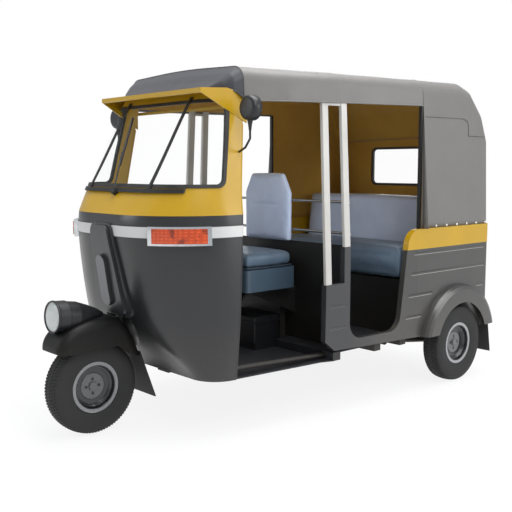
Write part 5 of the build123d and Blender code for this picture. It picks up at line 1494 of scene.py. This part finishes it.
    def engine(self) -> None:
        """The engine's casing with its cooling fins: a rounded rectangle carried up, drawn in between the fins.

        The inset follows a steep wave over the middle of the height, and the plan is a superellipse.
        """
        low, high = np.asarray(self.engine_low), np.asarray(self.engine_high)
        z = np.linspace(low[2] + 0.5, high[2] - 0.5, 230)
        turn = np.linspace(0, 2 * pi, 96, endpoint=False)
        share = (z - low[2]) / (high[2] - low[2])
        fins = step(np.sin(2 * pi * z / self.fin_pitch), 0.0, 1 / 6) * ((share > 0.12) & (share < 0.86))
        ends = 16 * (1 - np.sqrt(np.clip(1 - np.clip((np.abs(share - 0.5) - 0.45) / 0.05, 0, 1) ** 2, 0, 1)))
        half = (high - low) / 2 - 0.5
        inset = (self.fin_depth * fins + ends)[:, None]
        power = self.casing_power
        reach = (np.abs(np.cos(turn)) ** power + np.abs(np.sin(turn)) ** power) ** (-1 / power)
        x = (half[0] - inset) * (reach * np.cos(turn))[None]
        y = (low[1] + high[1]) / 2 + (half[1] - inset) * (reach * np.sin(turn))[None]
        grid = np.stack([x, y, np.broadcast_to(z[:, None], x.shape)], -1) * MM
        piece = surface("engine_fins", capped(grid), Paint.CASTING, around=True)
        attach(piece, "body")
        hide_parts("engine_block")

    def controls(self) -> None:
        """Ribbed grips and two bent levers on the handlebar."""
        y, z = self.bar
        run = np.linspace(0, self.grip_run, 90)
        ribs = 16.3 + 1.1 * np.sin(2 * pi * run / 7.0) * np.clip(np.minimum(run, self.grip_run - run) / 8, 0, 1)
        profile = [(0.0, 12.5), *zip(run, ribs), (self.grip_run + 1.5, 14.0), (self.grip_run + 2.0, 0.0)]
        for side, hand in SIDES:
            grip = [(side * a, r) for a, r in profile]
            self.turned(f"grip_{hand}", grip, (side * self.grip_x, y, z), (1, 0, 0), Paint.SEAL, "steering")
            points = smooth_path([(side * a, y + b, z + c) for a, b, c in self.lever], 40)
            self.tube(f"lever_{hand}", points, 4.5, Paint.STEEL, "steering")

    def edges(self) -> None:
        """The rolled door edges of the cab, black below the belt and yellow above it."""
        for side, hand in SIDES:
            knots = np.asarray(self.door_edge) * (side, 1, 1)
            inwards = (side * self.roll_in, 0, 0)
            self.tube(f"cab_edge_low_{hand}", smooth_path(knots[:6], 60) - inwards, self.roll_r, Paint.BLACK)
            self.tube(f"cab_edge_high_{hand}", smooth_path(knots[5:], 40) - inwards, self.roll_r, Paint.YELLOW)

    def nuts(self) -> None:
        """Domed nuts on the axle and link, and the plate's two screws."""
        dome = [(0.0, 11.0), (-6.0, 11.0), (-8.5, 8.0), (-10.0, 4.0), (-10.4, 0.0)]
        self.turned("front_axle_nut", dome, self.axle_nut, (1, 0, 0), Paint.STEEL, "steering", 24)
        self.turned("fork_link_nut", dome, self.link_nut, (1, 0, 0), Paint.STEEL, "steering", 24)
        screw = [(0.0, 5.5), (1.6, 5.2), (3.2, 3.4), (4.0, 0.0)]
        x, y, z = self.plate_screw
        for side, hand in SIDES[::-1]:
            self.turned(f"plate_screw_{hand}", screw, (side * x, y, z), (0, 1, 0), Paint.STEEL, sides=20)

    def build(self) -> None:
        """Adds every group of fittings."""
        for group in (self.lamps, self.mirrors, self.springs, self.engine, self.controls, self.edges, self.nuts):
            group()
            LOG.info("fitted: %s", group.__name__)


# ------------------------------------------------------------------ finishes of the carried-over nodes
NODE_FINISH: dict[Paint, list[str]] = {
    Paint.BLACK: ["cowl_lower"],
    Paint.NOSE: ["nose_cover"],
    Paint.GUARD_BLACK: ["front_mudguard"],
    Paint.YELLOW: ["cowl_upper", "sun_visor", "belt_rails"],
    Paint.GREY: ["side_panels", "rear_panel", "engine_hatch", "rear_mudguards"],
    Paint.POLE: ["door_poles"],
    Paint.PLATE: ["number_plate"],
    Paint.SEAT_BLUE: ["driver_seat_base"],
    Paint.FRAME_BLACK: [
        "windscreen_guard",
        "wheel_housings",
        "chassis_frame",
        "rear_suspension",
        "rear_bumper",
        "rear_bulkhead",
        "rear_posts",
        "sill_tubes",
        "front_fork",
        "handlebar",
        "partition_panel",
    ],
    Paint.STEEL: ["partition_rails"],
    Paint.MAT: ["floor_pan"],
    Paint.BAND: ["cowl_band"],
    Paint.CHROME: ["indicator_frames"],
    Paint.AMBER: ["indicator_lenses"],
    Paint.RED: ["tail_lamps"],
    Paint.SEAL: ["windscreen_rubber", "rear_window_rubber"],
    Paint.FLAP: ["rear_mudflaps", "front_mudflap"],
    Paint.GLASS: ["windscreen_glass", "rear_window_glass"],
    Paint.CASTING: ["exhaust"],
    Paint.PLASTIC: ["battery_box", "mirrors", "wiper", "headlamp_shell"],
    Paint.CLEAR_LENS: ["headlamp_lens"],
}


# ------------------------------------------------------------------ studio
@dataclass
class Studio:
    """Pale floor, soft boxes and the camera at the viewing place, in metres and degrees."""

    eye: tuple = (3.1137, -2.8652, 1.2061)
    azimuth: float = 47.941
    elevation: float = 6.422
    lens: float = 55.48
    floor_half: float = 30.0
    # name, place, width in metres and power in watts of each soft box; all point at the middle of the vehicle
    boxes: tuple = (
        ("key", (3.6, -1.2, 3.8), 1.8, 70.0),
        ("front", (-2.5, -5.0, 2.6), 2.4, 55.0),
        ("side", (4.6, 3.0, 2.4), 2.4, 80.0),
        ("back", (-3.0, 3.5, 3.4), 2.4, 60.0),
        ("top", (0.4, 0.4, 5.0), 3.6, 260.0),
    )
    aim: tuple[float, float, float] = (0.0, 0.0, 0.8)
    sky: tuple[float, float, float, float] = (0.92, 0.95, 1.0, 1.0)
    sky_strength: float = 0.55

    def camera(self) -> None:
        """Places the camera; its angle of view is that of a 512 by 512 frame."""
        data = bpy.data.cameras.new("camera")
        data.lens = self.lens
        data.sensor_width = 36.0
        data.clip_end = 100.0
        eye = bpy.data.objects.new("camera", data)
        a, e = radians(self.azimuth), radians(self.elevation)
        ahead = Vector((-sin(a) * cos(e), cos(a) * cos(e), -sin(e)))
        eye.location = self.eye
        eye.rotation_euler = ahead.to_track_quat("-Z", "Y").to_euler()
        bpy.context.scene.collection.objects.link(eye)
        bpy.context.scene.camera = eye

    def floor(self) -> None:
        """A wide pale floor that keeps the shadow and meets the white background."""
        mesh = bpy.data.meshes.new("floor")
        corners = [(x * self.floor_half, y * self.floor_half, 0) for x, y in ((-1, -1), (1, -1), (1, 1), (-1, 1))]
        mesh.from_pydata(corners, [], [(0, 1, 2, 3)])
        paint = bpy.data.materials.new("pale_floor_paint")
        paint.use_nodes = True
        tree = paint.node_tree
        tree.nodes.clear()
        matt = add_node(tree, "BsdfDiffuse", {"Color": (0.86, 0.86, 0.86, 1)})
        glow = add_node(tree, "Emission", {"Color": (1, 1, 1, 1), "Strength": 1.0})
        rays = add_node(tree, "LightPath")
        either = {0: rays.outputs["Is Camera Ray"], 1: rays.outputs["Is Glossy Ray"]}
        seen = add_node(tree, "Math", either, operation="MAXIMUM")
        place = add_node(tree, "TexCoord").outputs["Object"]
        away = add_node(tree, "VectorMath", {0: place}, operation="LENGTH").outputs["Value"]
        # white at the edge of the view, a little greyer under the vehicle, where the shadow lies
        ends = {"From Min": 1.6, "From Max": 5.0, "To Min": 0.86, "To Max": 1.0}
        fade = add_node(tree, "MapRange", {"Value": away, **ends})
        share = add_node(tree, "Math", {0: seen.outputs[0], 1: fade.outputs[0]}, operation="MULTIPLY")
        mix = add_node(tree, "MixShader", {0: share.outputs[0], 1: matt.outputs[0], 2: glow.outputs[0]})
        add_node(tree, "OutputMaterial", {"Surface": mix.outputs[0]})
        mesh.materials.append(paint)
        floor = bpy.data.objects.new("floor", mesh)
        bpy.context.scene.collection.objects.link(floor)

    def lights(self) -> None:
        """Soft boxes from both sides and above, and a plain sky whose seen colour is white."""
        for name, place, size, power in self.boxes:
            data = bpy.data.lights.new(name, "AREA")
            data.size = size
            data.energy = power
            lamp = bpy.data.objects.new(name, data)
            lamp.location = place
            lamp.rotation_euler = (Vector(self.aim) - Vector(place)).to_track_quat("-Z", "Y").to_euler()
            bpy.context.scene.collection.objects.link(lamp)
        world = bpy.data.worlds.new("sky")
        bpy.context.scene.world = world
        world.use_nodes = True
        tree = world.node_tree
        tree.nodes.clear()
        rays = add_node(tree, "LightPath")
        either = {0: rays.outputs["Is Camera Ray"], 1: rays.outputs["Is Transmission Ray"]}
        through = add_node(tree, "Math", either, operation="MAXIMUM")
        plain = add_node(tree, "Background", {"Color": self.sky, "Strength": self.sky_strength})
        white = add_node(tree, "Background", {"Color": (1, 1, 1, 1), "Strength": 1.0})
        mix = add_node(tree, "MixShader", {0: through.outputs[0], 1: plain.outputs[0], 2: white.outputs[0]})
        add_node(tree, "OutputWorld", {"Surface": mix.outputs[0]})
        bpy.context.scene.view_settings.view_transform = "Standard"

    def build(self) -> None:
        """Sets up camera, floor and lights."""
        self.camera()
        self.floor()
        self.lights()


def main() -> None:
    """Builds every sub-assembly in order and reports the pieces."""
    logging.basicConfig(level=logging.INFO, format="%(message)s")
    Studio().build()
    for paint, names in NODE_FINISH.items():
        for name in names:
            paint_node(name, paint)
    Canopy().build()
    Seats().build()
    Wheel("front", "front_wheel", FRONT_AXLE, 1).build(Paint.FRONT_RIM)
    Wheel("rear_left", "rear_left_wheel", REAR_LEFT_AXLE, 1).build(Paint.REAR_LEFT_RIM)
    Wheel("rear_right", "rear_right_wheel", REAR_RIGHT_AXLE, -1).build(Paint.REAR_RIGHT_RIM)
    Fittings().build()


if __name__ == "__main__":
    main()
